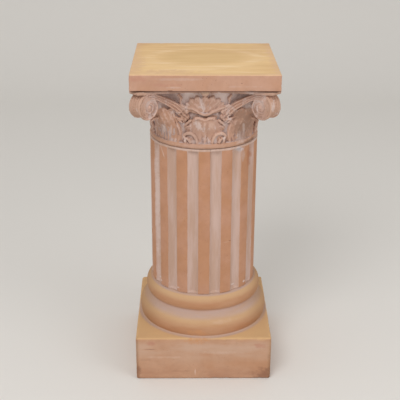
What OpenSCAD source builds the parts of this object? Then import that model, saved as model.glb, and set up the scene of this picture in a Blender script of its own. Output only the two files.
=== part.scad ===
// Terracotta pedestal column: square plinth with round base mouldings, fluted shaft,
// leafy capital with four corner scrolls, and a plain square top slab.
// Millimetres, +Z up, origin at the centre of the underside. The front faces -Y.

/* [Overall] */
// Height from the floor to the top of the slab; the shaft takes up what is left
column_height = 720; // [600:1:900]
// Side of the square plinth
plinth_side = 310; // [290:1:380]
// Side of the square top slab
slab_side = 310; // [290:1:380]

/* [Top slab] */
// Thickness of the top slab
slab_thickness = 35; // [20:1:60]
// Radius of the slab's upright edges
slab_corner_radius = 4; // [1:0.5:12]

/* [Plinth] */
// Height of the square plinth
plinth_height = 108; // [80:1:150]
// Radius of the plinth's upright edges
plinth_corner_radius = 5; // [1:0.5:12]

/* [Base mouldings] */
// Height of the lower round moulding
lower_torus_height = 45; // [30:1:60]
// Distance from the lower round moulding to the sides of the plinth
lower_torus_margin = 5; // [2:0.5:12]
// Height of the upper round moulding
upper_torus_height = 36; // [20:1:45]
// How far the upper round moulding stands out from the shaft
upper_torus_projection = 13.5; // [8:0.5:18]
// Height of the hollow between the round mouldings
hollow_height = 14; // [8:1:24]
// Depth of the hollow, measured in from its upper edge
hollow_depth = 4; // [2:0.5:7]

/* [Shaft] */
// Radius of the shaft over its raised strips
shaft_radius = 121; // [100:1:146]
// Number of flutes around the shaft
flute_count = 15; // [10:1:20]
// Width of one flute across its edges
flute_width = 25; // [12:0.5:26]
// Depth of one flute below its edges
flute_depth = 8; // [3:0.5:10]
// Height of the plain band above the flutes
flute_stop = 4; // [2:0.5:20]

/* [Capital] */
// Height of the whole capital, from the shaft to the slab
capital_height = 136; // [120:1:165]
// Height of the ring at the foot of the capital
neck_ring_height = 14; // [8:1:18]
// How much narrower the foot of the bell is than the shaft
bell_inset = 6; // [3:0.5:12]
// How much the bell widens towards the top
bell_flare = 16; // [8:0.5:20]
// Thickness of the thin plate over the bell
abacus_thickness = 8; // [5:0.5:12]
// Distance from the middle of the plate's hollow sides to the slab's sides
abacus_hollow = 25; // [15:1:30]

/* [Leaves] */
// Height of the leaf in the middle of each side
side_leaf_height = 60; // [45:1:68]
// Half the width of the leaf in the middle of each side
side_leaf_half_width = 46; // [36:1:50]
// Height of the leaf under each scroll
corner_leaf_height = 54; // [40:1:60]
// How far the leaves stand out from the bell
leaf_relief = 7; // [3:0.5:9]
// How much further the tips of the leaves curl out
leaf_curl = 6; // [2:0.5:8]

/* [Corner scrolls] */
// Radius of a scroll
scroll_radius = 28; // [20:0.5:32]
// Width of a scroll across its two faces
scroll_width = 30; // [18:1:36]
// Distance from the scroll's outer edge to the slab's corner
scroll_inset = 11; // [6:0.5:20]
// Height of the spiral ridge above a scroll's face
spiral_relief = 2; // [1:0.5:4]
// Number of turns in the spiral ridge
spiral_turns = 2; // [1:0.25:2.5]
// Half the thickness of the stems that run up to the scrolls
stem_thickness = 6; // [4:0.5:7]

/* [Hidden] */

terracotta = "#c69a7c";
pale_terracotta = "#d8b48c";

// Stacking heights
base_height = plinth_height + lower_torus_height + hollow_height + upper_torus_height;
slab_bottom = column_height - slab_thickness;
capital_bottom = slab_bottom - capital_height;
shaft_length = capital_bottom - base_height;

// Base mouldings
lower_torus_radius = plinth_side / 2 - lower_torus_margin;
upper_torus_radius = shaft_radius + upper_torus_projection;
hollow_top_radius = upper_torus_radius - upper_torus_height / 5;
hollow_foot_radius = lower_torus_radius - lower_torus_height / 3;

// A flute is the part of a round bar that reaches into the shaft: the bar's radius follows
// from the flute's width and depth
flute_edge_distance = sqrt(pow(shaft_radius, 2) - pow(flute_width / 2, 2));
flute_bar_radius = (pow(flute_width / 2, 2) + pow(flute_depth, 2)) / (2 * flute_depth);
flute_bar_distance = flute_edge_distance - flute_depth + flute_bar_radius;

// Capital, measured from its own foot
neck_ring_radius = neck_ring_height / 2;
bell_foot_radius = shaft_radius - bell_inset;
bell_top = capital_height - abacus_thickness;
abacus_overlap = 1;
slab_half_diagonal = slab_side / sqrt(2);
scroll_reach = slab_half_diagonal - scroll_inset;
scroll_distance = scroll_reach - scroll_radius;
scroll_height = bell_top - scroll_radius + 1;
abacus_side = slab_side / 2 - abacus_hollow;
side_leaf_top = neck_ring_height + side_leaf_height;
web_end = 8;

// Fineness of the carved bell and of the round parts of the capital
bell_steps_around = 96;
bell_steps_up = 21;
ring_steps = 6;
scroll_fn = 24;
spiral_steps = 12;
abacus_steps = 8;
stem_fn = 8;

// --- helpers ---

function clamp01(x) = min(1, max(0, x));
function smooth(x) = let (t = clamp01(x)) t * t * (3 - 2 * t);
function bump(x) = abs(x) < 1 ? pow(1 - x * x, 2) : 0;

// How far a point lies inside an oval, from 1 at its centre to 0 on its edge
function oval(x, y, cx, cy, rx, ry) = 1 - pow((x - cx) / rx, 2) - pow((y - cy) / ry, 2);

// A square block with rounded upright edges
module rounded_block(side, height, radius) {
    inner = side - 2 * radius;
    translate([-side / 2, -inner / 2, 0]) cube([side, inner, height]);
    translate([-inner / 2, -side / 2, 0]) cube([inner, side, height]);
    for (x = [-1, 1], y = [-1, 1])
        translate([x * inner / 2, y * inner / 2, 0]) cylinder(r = radius, h = height, $fn = 48);
}

// --- base ---

// Half of a round moulding's section, with its foot at z = 0
module torus_section(radius, height) {
    square([radius - height / 2, height]);
    translate([radius - height / 2, height / 2]) circle(height / 2, $fn = 64);
}

module hollow_section() {
    difference() {
        polygon([
            [0, 0],
            [hollow_foot_radius, 0],
            [hollow_foot_radius, hollow_height * 0.2],
            [hollow_top_radius, hollow_height * 0.8],
            [hollow_top_radius, hollow_height],
            [0, hollow_height]
        ]);
        translate([hollow_top_radius, hollow_height * 0.5])
            scale(hollow_depth) circle(1, $fn = 48);
    }
}

module base() {
    color(terracotta) {
        rounded_block(plinth_side, plinth_height, plinth_corner_radius);
        translate([0, 0, plinth_height]) rotate_extrude($fn = 120) {
            torus_section(lower_torus_radius, lower_torus_height);
            translate([0, lower_torus_height]) hollow_section();
            translate([0, lower_torus_height + hollow_height])
                torus_section(upper_torus_radius, upper_torus_height);
        }
    }
}

// --- shaft ---

module shaft() {
    color(terracotta) translate([0, 0, base_height]) difference() {
        cylinder(r = shaft_radius, h = shaft_length, $fn = 180);
        // A raised strip faces the front, so the flutes start half a step to its side
        for (i = [0 : flute_count - 1])
            rotate([0, 0, -90 + (i + 0.5) * 360 / flute_count])
                translate([flute_bar_distance, 0, -1])
                    cylinder(r = flute_bar_radius, h = shaft_length - flute_stop + 1, $fn = 48);
    }
}

// --- capital ---

// Radius of the plain bell at height z
function bell_radius(z) =
    bell_foot_radius + bell_flare * pow(clamp01((z - neck_ring_height) / (bell_top - neck_ring_height)), 2.2);

// The leaf in the middle of a side: two pairs of side lobes, a body and a round tip.
// s is the distance around the bell from the middle of the side
function side_leaf(s, z) =
    let (
        w = side_leaf_half_width,
        h = side_leaf_height,
        y = z - neck_ring_height,
        shape = max(
            oval(s, y, w * 0.52, h * 0.28, w * 0.48, h * 0.34),
            oval(s, y, w * 0.50, h * 0.68, w * 0.44, h * 0.24),
            oval(s, y, 0, h * 0.80, w * 0.62, h * 0.24),
            oval(s, y, 0, h * 0.35, w * 0.50, h * 0.62)
        )
    )
    smooth(shape * 1.8) * (leaf_relief + leaf_curl * bump((y - h * 0.92) / (h * 0.35)));

// The leaf under a scroll; s is the distance around the bell from the corner
function corner_leaf(s, z) =
    let (
        w = side_leaf_half_width * 0.7,
        h = corner_leaf_height,
        y = z - neck_ring_height,
        shape = max(
            oval(s, y, 0, h * 0.40, w * 0.85, h * 0.60),
            oval(s, y, 0, h * 0.78, w, h * 0.26)
        )
    )
    smooth(shape * 1.8) * (leaf_relief + 2 * leaf_curl * bump((y - h * 0.95) / (h * 0.4)));

// The fan of petals over the side leaf
function palmette(s, z) =
    let (
        foot = side_leaf_top + 4,
        h = bell_top - foot,
        shape = oval(s, z, 0, foot + h * 0.55, side_leaf_half_width * 0.8, h * 0.52)
    )
    smooth(shape * 2) * leaf_relief * 0.8;

// The ring at the foot of the capital is a half round over the narrow foot of the bell
function neck_ring(z) =
    z <= neck_ring_height ? bell_inset * sqrt(max(0, 1 - pow((z - neck_ring_radius) / neck_ring_radius, 2))) : 0;

function carved_radius(angle, z) =
    let (
        side_angle = abs((angle + 45) % 90 - 45),
        arc = bell_foot_radius * PI / 180,
        s = side_angle * arc,
        s_corner = (45 - side_angle) * arc
    )
    bell_radius(z) + neck_ring(z) + max(side_leaf(s, z), corner_leaf(s_corner, z), palmette(s, z));

// Heights of the rows of points on the carved bell
function bell_rows() = concat(
    [for (i = [0 : ring_steps]) neck_ring_radius * (1 - cos(i * 180 / ring_steps))],
    [for (i = [1 : bell_steps_up])
        neck_ring_height + i * (bell_top + abacus_overlap - neck_ring_height) / bell_steps_up]
);

module carved_bell() {
    rows = bell_rows();
    n = bell_steps_around;
    last = len(rows) - 1;
    points = [
        for (z = rows, i = [0 : n - 1])
            let (angle = i * 360 / n, r = carved_radius(angle, z))
            [r * cos(angle), r * sin(angle), z]
    ];
    faces = concat(
        [[for (i = [0 : n - 1]) i]],
        [for (j = [0 : last - 1], i = [0 : n - 1]) [j * n + i, (j + 1) * n + i, j * n + (i + 1) % n]],
        [for (j = [0 : last - 1], i = [0 : n - 1])
            [(j + 1) * n + i, (j + 1) * n + (i + 1) % n, j * n + (i + 1) % n]],
        [[for (i = [n - 1 : -1 : 0]) last * n + i]]
    );
    polyhedron(points = points, faces = faces, convexity = 6);
}

// The thin plate: hollow sides that run out to four blunt corners over the scrolls
module abacus() {
    half_blunt = scroll_width / 2;
    tip_long = (scroll_reach + half_blunt) / sqrt(2);
    tip_short = (scroll_reach - half_blunt) / sqrt(2);
    side = [
        for (i = [0 : abacus_steps])
            let (t = i * 2 / abacus_steps - 1)
            [tip_short * t, -abacus_side - (tip_long - abacus_side) * t * t]
    ];
    outline = [
        for (turn = [0 : 90 : 270], p = side)
            [p[0] * cos(turn) - p[1] * sin(turn), p[0] * sin(turn) + p[1] * cos(turn)]
    ];
    translate([0, 0, bell_top]) linear_extrude(abacus_thickness) polygon(outline);
}

// A flat band that winds in from the rim to the eye
module spiral_band(radius) {
    steps = spiral_turns * spiral_steps;
    eye = radius * 0.2;
    band = (radius - eye) / spiral_turns * 0.55;
    outer = [
        for (i = [0 : steps])
            let (a = i * 360 / spiral_steps, r = radius - (radius - eye) * i / steps)
            [r * cos(a), r * sin(a)]
    ];
    inner = [
        for (i = [steps : -1 : 0])
            let (a = i * 360 / spiral_steps, r = radius - (radius - eye) * i / steps - band)
            [max(r, 1) * cos(a), max(r, 1) * sin(a)]
    ];
    polygon(concat(outer, inner));
    circle(eye, $fn = 16);
}

// One scroll, in the upright plane through the corner, with its stems and its bracket
module corner_scroll() {
    face = scroll_width / 2;
    translate([scroll_distance, 0, scroll_height]) rotate([90, 0, 0]) {
        cylinder(r = scroll_radius - 0.5, h = scroll_width - 2 * spiral_relief, center = true, $fn = scroll_fn);
        // The rim's own end of the spiral lies at the top, towards the bell
        linear_extrude(scroll_width, center = true) mirror([1, 0]) rotate(80) spiral_band(scroll_radius);
    }
    // Web that ties the scroll to the bell and carries the plate's corner
    hull() {
        translate([bell_foot_radius - web_end, -face * 1.5, bell_top - 1.6 * scroll_radius])
            cube([web_end, face * 3, 1.6 * scroll_radius]);
        translate([scroll_distance - web_end, -face * 0.6, bell_top - 1.2 * scroll_radius])
            cube([web_end, face * 1.2, 1.2 * scroll_radius]);
    }
    for (m = [0, 1]) mirror([0, m, 0]) stem();
}

// A point that stands out from the bell, at an angle from the corner's own direction
function on_bell(angle, z, out) =
    let (r = bell_radius(z) + out)
    [r * cos(angle), r * sin(angle), z];

module stem_bead() {
    scale([0.7, 0.7, 1.3]) sphere(stem_thickness, $fn = stem_fn);
}

// A stem leaves the bell beside the palmette and runs up to the top of the scroll
module stem() {
    path = [
        on_bell(-24, side_leaf_top + 12, 1),
        on_bell(-14, bell_top - 22, 4),
        [scroll_distance - 12, 5 - scroll_width / 2, bell_top - stem_thickness]
    ];
    for (i = [0 : len(path) - 2]) hull() {
        translate(path[i]) stem_bead();
        translate(path[i + 1]) stem_bead();
    }
}

// The small flower in the middle of each side of the plate
module fleuron() {
    translate([0, -abacus_side - 4, bell_top + 1]) scale([10, 9, 6]) sphere(1, $fn = 10);
}

module capital() {
    color(pale_terracotta) translate([0, 0, capital_bottom]) {
        carved_bell();
        abacus();
        for (turn = [0 : 90 : 270]) rotate([0, 0, turn]) {
            rotate([0, 0, 45]) corner_scroll();
            intersection() {
                fleuron();
                translate([0, 0, bell_top - 20])
                    cube([slab_side, slab_side, 2 * (20 + abacus_thickness)], center = true);
            }
        }
    }
}

// --- top slab ---

module top_slab() {
    color(pale_terracotta) translate([0, 0, slab_bottom])
        rounded_block(slab_side, slab_thickness, slab_corner_radius);
}

base();
shaft();
capital();
top_slab();
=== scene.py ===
"""Terracotta pedestal column: square plinth, round base mouldings, fluted shaft,
leafy capital with corner scrolls and a plain top slab."""

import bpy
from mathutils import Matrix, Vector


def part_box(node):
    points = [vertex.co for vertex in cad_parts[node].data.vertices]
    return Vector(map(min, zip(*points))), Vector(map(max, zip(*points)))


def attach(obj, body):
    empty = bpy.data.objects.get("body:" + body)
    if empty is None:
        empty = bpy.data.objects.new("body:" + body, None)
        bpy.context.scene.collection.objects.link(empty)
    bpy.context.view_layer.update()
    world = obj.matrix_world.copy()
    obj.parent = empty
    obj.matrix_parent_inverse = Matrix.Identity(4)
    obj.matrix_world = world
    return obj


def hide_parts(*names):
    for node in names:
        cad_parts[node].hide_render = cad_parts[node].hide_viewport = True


bl_info = {
    "name": "Terracotta Pedestal Column",
    "version": (1, 0, 0),
    "blender": (4, 5, 0),
    "location": "View3D > Sidebar > Column",
    "description": "Builds the finished surfaces of a cast terracotta pedestal column",
    "category": "Add Mesh",
}

import math

import bpy
import numpy as np
from bpy.props import FloatProperty, FloatVectorProperty, IntProperty, PointerProperty
from mathutils import Matrix, Vector, noise

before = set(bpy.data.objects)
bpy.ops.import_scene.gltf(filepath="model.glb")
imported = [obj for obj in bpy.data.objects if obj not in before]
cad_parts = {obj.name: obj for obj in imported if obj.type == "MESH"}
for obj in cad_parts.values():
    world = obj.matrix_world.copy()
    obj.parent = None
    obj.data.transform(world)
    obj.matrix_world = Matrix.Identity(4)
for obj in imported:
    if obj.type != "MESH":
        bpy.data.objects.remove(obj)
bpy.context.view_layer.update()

MM = 0.001
BASE_LOW, BASE_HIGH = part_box("base")
SHAFT_LOW, SHAFT_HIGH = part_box("shaft")
CAPITAL_LOW, CAPITAL_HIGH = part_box("capital")
SLAB_LOW, SLAB_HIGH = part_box("top_slab")
SHAFT_RADIUS = SHAFT_HIGH.x
CAPITAL_HEIGHT = CAPITAL_HIGH.z - CAPITAL_LOW.z

# How fine the pieces are: voxels in which castings are united, and triangles left in each piece
BASE_VOXEL = 1.8 * MM
CAPITAL_VOXEL = 1.1 * MM
SLAB_VOXEL = 1.5 * MM
BASE_TRIANGLES = 160000
CAPITAL_TRIANGLES = 190000
SLAB_TRIANGLES = 90000


# ---------------------------------------------------------------- sizes and colours

class ColumnSizes(bpy.types.PropertyGroup):
    """Sizes of the column that a maker would change"""

    plinth_height: FloatProperty(
        name="Plinth height", description="Height of the square plinth",
        default=108 * MM, unit="LENGTH")
    lower_torus_height: FloatProperty(
        name="Lower moulding", description="Height of the lower round moulding",
        default=45 * MM, unit="LENGTH")
    upper_torus_height: FloatProperty(
        name="Upper moulding", description="Height of the upper round moulding",
        default=36 * MM, unit="LENGTH")
    lower_torus_margin: FloatProperty(
        name="Moulding margin", description="From the lower moulding to the plinth's sides",
        default=5 * MM, unit="LENGTH")
    upper_torus_projection: FloatProperty(
        name="Upper projection", description="How far the upper moulding stands out from the shaft",
        default=13.5 * MM, unit="LENGTH")
    flute_count: IntProperty(
        name="Flutes", description="Number of flutes around the shaft", default=15)
    flute_width: FloatProperty(
        name="Flute width", description="Width of a flute across its edges",
        default=25 * MM, unit="LENGTH")
    flute_depth: FloatProperty(
        name="Flute depth", description="Depth of a flute below its edges",
        default=8 * MM, unit="LENGTH")
    flute_stop: FloatProperty(
        name="Flute stop", description="Height of the plain band above the flutes",
        default=4 * MM, unit="LENGTH")
    neck_ring_height: FloatProperty(
        name="Neck ring", description="Height of the ring at the foot of the capital",
        default=14 * MM, unit="LENGTH")
    bell_inset: FloatProperty(
        name="Bell inset", description="How much narrower the bell's foot is than the shaft",
        default=6 * MM, unit="LENGTH")
    bell_flare: FloatProperty(
        name="Bell flare", description="How much the bell widens towards the top",
        default=16 * MM, unit="LENGTH")
    abacus_thickness: FloatProperty(
        name="Abacus", description="Thickness of the thin plate over the bell",
        default=8 * MM, unit="LENGTH")
    abacus_hollow: FloatProperty(
        name="Abacus hollow", description="From the middle of the plate's sides to the slab's sides",
        default=25 * MM, unit="LENGTH")
    scroll_radius: FloatProperty(
        name="Scroll radius", description="Radius of a corner scroll",
        default=28 * MM, unit="LENGTH")
    scroll_width: FloatProperty(
        name="Scroll width", description="Width of a scroll across its two faces",
        default=30 * MM, unit="LENGTH")
    scroll_inset: FloatProperty(
        name="Scroll inset", description="From the scroll's outer edge to the slab's corner",
        default=11 * MM, unit="LENGTH")
    edge_wear: FloatProperty(
        name="Edge wear", description="Depth of the wear along the blocks' edges",
        default=2.2 * MM, unit="LENGTH")


class ClayColours(bpy.types.PropertyGroup):
    """Colours of the fired clay and of what has settled on it"""

    clay: FloatVectorProperty(
        name="Clay", description="Bare fired clay", subtype="COLOR", size=3,
        default=(0.51, 0.262, 0.15))
    pink_clay: FloatVectorProperty(
        name="Pink clay", description="Weathered clay on the plinth", subtype="COLOR", size=3,
        default=(0.56, 0.325, 0.215))
    slab_clay: FloatVectorProperty(
        name="Slab clay", description="Weathered clay on the slab's edges", subtype="COLOR", size=3,
        default=(0.565, 0.335, 0.24))
    carved_clay: FloatVectorProperty(
        name="Carved clay", description="Weathered clay of the capital", subtype="COLOR", size=3,
        default=(0.54, 0.34, 0.27))
    flute_wash: FloatVectorProperty(
        name="Flute wash", description="Thin pale wash in the flutes", subtype="COLOR", size=3,
        default=(0.62, 0.46, 0.40))
    recess_wash: FloatVectorProperty(
        name="Recess wash", description="Pale wash left in the carving", subtype="COLOR", size=3,
        default=(0.58, 0.485, 0.47))
    plinth_dust: FloatVectorProperty(
        name="Plinth dust", description="Golden dust on top of the plinth", subtype="COLOR", size=3,
        default=(0.68, 0.435, 0.215))
    moulding_dust: FloatVectorProperty(
        name="Moulding dust", description="Dust on the round mouldings", subtype="COLOR", size=3,
        default=(0.60, 0.385, 0.215))
    slab_dust: FloatVectorProperty(
        name="Slab dust", description="Golden dust on top of the slab", subtype="COLOR", size=3,
        default=(0.84, 0.585, 0.305))
    dark: FloatVectorProperty(
        name="Dark clay", description="Dirty clay along the foot", subtype="COLOR", size=3,
        default=(0.27, 0.14, 0.085))


# ---------------------------------------------------------------- mesh tools

def deselect_all():
    """Leaves edit mode and selects nothing."""
    if bpy.context.object and bpy.context.object.mode != "OBJECT":
        bpy.ops.object.mode_set(mode="OBJECT")
    bpy.ops.object.select_all(action="DESELECT")


def make_active(piece):
    """Selects this piece alone."""
    deselect_all()
    piece.select_set(True)
    bpy.context.view_layer.objects.active = piece


def edit(piece):
    """Opens the piece in edit mode with all of it selected."""
    make_active(piece)
    bpy.ops.object.mode_set(mode="EDIT")
    bpy.ops.mesh.select_all(action="SELECT")


def close_edit():
    """Leaves edit mode."""
    bpy.ops.object.mode_set(mode="OBJECT")


def bake_place(piece):
    """Moves the piece's place into its mesh."""
    make_active(piece)
    bpy.ops.object.transform_apply(location=True, rotation=True, scale=True)


def modify(piece, kind, **values):
    """Adds one modifier and applies it."""
    make_active(piece)
    modifier = piece.modifiers.new(kind, kind)
    for name, value in values.items():
        setattr(modifier, name, value)
    bpy.ops.object.modifier_apply(modifier=modifier.name)


def join(pieces, name):
    """Makes one object of several."""
    deselect_all()
    for piece in pieces:
        piece.select_set(True)
    bpy.context.view_layer.objects.active = pieces[0]
    bpy.ops.object.join()
    pieces[0].name = name
    pieces[0].data.name = name
    return pieces[0]


def copy_of(piece, matrix):
    """A copy with its own mesh, moved by the matrix."""
    twin = piece.copy()
    twin.data = piece.data.copy()
    twin.data.transform(matrix)
    if matrix.determinant() < 0:
        twin.data.flip_normals()
    bpy.context.scene.collection.objects.link(twin)
    return twin


def points_of(piece):
    """The piece's points as rows of an array, in metres."""
    co = np.empty(len(piece.data.vertices) * 3)
    piece.data.vertices.foreach_get("co", co)
    return co.reshape(-1, 3)


def move_points(piece, co):
    """Puts the piece's points at these places."""
    piece.data.vertices.foreach_set("co", np.ascontiguousarray(co).ravel())
    piece.data.update()


def normals_of(piece):
    """The direction in which the surface faces at each point."""
    vectors = np.empty(len(piece.data.vertices) * 3, np.float32)
    piece.data.vertex_normals.foreach_get("vector", vectors)
    return vectors.reshape(-1, 3).astype(float)


def outward(piece):
    """Closes small seams and turns every face outwards."""
    edit(piece)
    bpy.ops.mesh.remove_doubles(threshold=0.01 * MM)
    bpy.ops.mesh.normals_make_consistent(inside=False)
    close_edit()


def new_grid(name, rows, columns):
    """A flat grid, with the row and the column of each of its points."""
    deselect_all()
    bpy.ops.mesh.primitive_grid_add(x_subdivisions=columns - 1, y_subdivisions=rows - 1, size=1)
    piece = bpy.context.object
    piece.name = name
    co = points_of(piece)
    row = np.rint((co[:, 1] + 0.5) * (rows - 1)).astype(int)
    column = np.rint((co[:, 0] + 0.5) * (columns - 1)).astype(int)
    return piece, row, column


def smoothstep(low, high, x):
    """A smooth rise from 0 to 1 as x goes from low to high."""
    t = np.clip((x - low) / (high - low), 0, 1)
    return t * t * (3 - 2 * t)


def bump(x):
    """A smooth hump: 1 at 0, and 0 from 1 outwards on both sides."""
    return np.where(np.abs(x) < 1, (1 - x * x) ** 2, 0)


def clay_noise(co, size, octaves=3, seed=0.0):
    """Smooth noise from -1 to 1 at each point, with lumps of the given size."""
    shift = Vector((seed * 17.3, seed * 9.1, seed * 5.7))
    return np.array([noise.fractal(Vector(p) / size + shift, 1.0, 2.0, octaves) for p in co])


def store(piece, name, values):
    """Keeps a value at each point of the piece, which its material reads."""
    attribute = piece.data.attributes.new(name, "FLOAT", "POINT")
    attribute.data.foreach_set("value", np.ascontiguousarray(values, np.float32))


def relaxed(piece, rounds):
    """The mesh's points after rounds of averaging with their neighbours."""
    co = points_of(piece)
    edges = np.empty(len(piece.data.edges) * 2, np.int64)
    piece.data.edges.foreach_get("vertices", edges)
    a, b = edges.reshape(-1, 2).T
    count = np.bincount(a, minlength=len(co)) + np.bincount(b, minlength=len(co))
    count = np.maximum(count, 1)
    for _ in range(rounds):
        total = np.stack([
            np.bincount(a, co[b, k], len(co)) + np.bincount(b, co[a, k], len(co))
            for k in range(3)], axis=1)
        co = 0.4 * co + 0.6 * total / count[:, None]
    return co


def store_surface_shape(piece, reach, rounds, fine_reach=0.0, fine_rounds=0):
    """Stores how hollow the surface is around each point, and how far it looks up."""
    normal = normals_of(piece)
    co = points_of(piece)
    depth = ((relaxed(piece, rounds) - co) * normal).sum(1)
    store(piece, "hollow", np.clip(0.5 + 0.5 * depth / reach, 0, 1))
    if fine_rounds:
        depth = ((relaxed(piece, fine_rounds) - co) * normal).sum(1)
        store(piece, "crevice", np.clip(0.5 + 0.5 * depth / fine_reach, 0, 1))
    store(piece, "upward", np.clip(normal[:, 2], 0, 1))


def finish_piece(piece, material, body, slot, *nodes):
    """Gives the finished piece its material and says what it stands for."""
    piece.data.materials.clear()
    piece.data.materials.append(material)
    make_active(piece)
    bpy.ops.object.shade_smooth()
    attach(piece, body)
    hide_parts(*nodes)


# ---------------------------------------------------------------- worn blocks

def worn_block(name, low, high, rounding, wear, voxel, seed):
    """A cast square block with softened, slightly chipped edges."""
    deselect_all()
    size = high - low
    bpy.ops.mesh.primitive_cube_add(size=1, location=(low + high) / 2)
    block = bpy.context.object
    block.name = name
    block.scale = size
    bake_place(block)
    modify(block, "BEVEL", width=rounding, segments=3, limit_method="NONE")
    modify(block, "REMESH", mode="VOXEL", voxel_size=voxel)
    co = points_of(block)
    # The distance to an edge comes from the two smallest distances to the block's faces
    to_faces = np.minimum(co - np.array(low), np.array(high) - co)
    to_edge = np.sqrt((np.sort(to_faces, axis=1)[:, :2] ** 2).sum(1))
    reach = 9 * MM
    near_edge = to_edge < reach
    worn = np.zeros(len(co))
    lumps = clay_noise(co[near_edge], reach, 3, seed)
    broad = clay_noise(co[near_edge], 60 * MM, 2, seed + 3)
    chips = np.clip(lumps + 0.5 * broad - 0.25, 0, None)
    fade = 1 - smoothstep(2 * MM, reach, to_edge[near_edge])
    worn[near_edge] = wear * (0.10 + chips) * fade
    middle = (np.array(low) + np.array(high)) / 2
    inward = -np.sign(co - middle)
    pull = inward * (to_faces < 10 * MM)
    pull /= np.maximum(np.linalg.norm(pull, axis=1, keepdims=True), 1)
    co += pull * worn[:, None]
    move_points(block, np.clip(co, np.array(low), np.array(high)))
    modify(block, "SMOOTH", factor=0.5, iterations=2)
    return block


def thin_out(piece, triangles):
    """Collapses the flattest triangles until the piece has about this many."""
    have = sum(len(p.vertices) - 2 for p in piece.data.polygons)
    if have > triangles:
        modify(piece, "DECIMATE", ratio=triangles / have)


# ---------------------------------------------------------------- spun and fluted forms

def spun(name, profile, steps):
    """A closed solid of revolution about the column's axis from a profile of (radius, height)."""
    mesh = bpy.data.meshes.new(name)
    mesh.from_pydata([(r, 0, z) for r, z in profile], [(i, i + 1) for i in range(len(profile) - 1)], [])
    piece = bpy.data.objects.new(name, mesh)
    bpy.context.scene.collection.objects.link(piece)
    edit(piece)
    bpy.ops.mesh.spin(steps=steps, angle=2 * math.pi, center=(0, 0, 0), axis=(0, 0, 1))
    close_edit()
    outward(piece)
    return piece


# Sections of the two round mouldings: share of the height, inset from the widest radius
LOWER_MOULDING = ((0.0, 3.4), (0.12, 1.0), (0.30, 0.0), (0.50, 0.3), (0.68, 2.3), (0.82, 6.0),
                  (0.93, 10.8), (1.0, 14.6))
UPPER_MOULDING = ((0.0, 4.4), (0.08, 2.0), (0.25, 0.3), (0.45, 0.0), (0.65, 1.1), (0.82, 4.4),
                  (0.94, 9.4), (1.0, 15.5))


def base_profile(sizes):
    """Section of the base mouldings, from the plinth up to the foot of the shaft."""
    foot = BASE_LOW.z + sizes.plinth_height
    hollow_foot = foot + sizes.lower_torus_height
    hollow_top = BASE_HIGH.z - sizes.upper_torus_height
    low_radius = BASE_HIGH.x - sizes.lower_torus_margin
    high_radius = SHAFT_RADIUS + sizes.upper_torus_projection
    lower = [(low_radius - inset * MM, foot + share * sizes.lower_torus_height)
             for share, inset in smooth_line(LOWER_MOULDING, 40)]
    upper = [(high_radius - inset * MM, hollow_top + share * sizes.upper_torus_height)
             for share, inset in smooth_line(UPPER_MOULDING, 36)]
    hollow = [(high_radius - inset * MM, hollow_foot + share * (hollow_top - hollow_foot))
              for share, inset in ((0.35, 2.0), (0.62, 3.6), (0.85, 4.9))]
    return ([(0, foot - 20 * MM), (low_radius - 8 * MM, foot - 20 * MM)] + lower + hollow + upper
            + [(0, BASE_HIGH.z)])


def base_wash(co, sizes):
    """Whitewash round the foot of the shaft, in the hollow and under the lower moulding."""
    from_axis = np.linalg.norm(co[:, :2], axis=1)
    z = co[:, 2]
    hollow_middle = BASE_HIGH.z - sizes.upper_torus_height - 9 * MM
    low_radius = BASE_HIGH.x - sizes.lower_torus_margin
    at_shaft = 1 - smoothstep(1 * MM, 7 * MM, from_axis - SHAFT_RADIUS)
    at_shaft *= z > BASE_HIGH.z - 13 * MM
    at_hollow = bump((z - hollow_middle) / (16 * MM))
    at_plinth = bump((from_axis - low_radius) / (10 * MM))
    at_plinth *= bump((z - BASE_LOW.z - sizes.plinth_height) / (5 * MM))
    return np.maximum(np.maximum(at_shaft, at_hollow), 0.8 * at_plinth)


# Height over which a flute runs out below the plain band
FLUTE_SCOOP = 7 * MM


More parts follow.
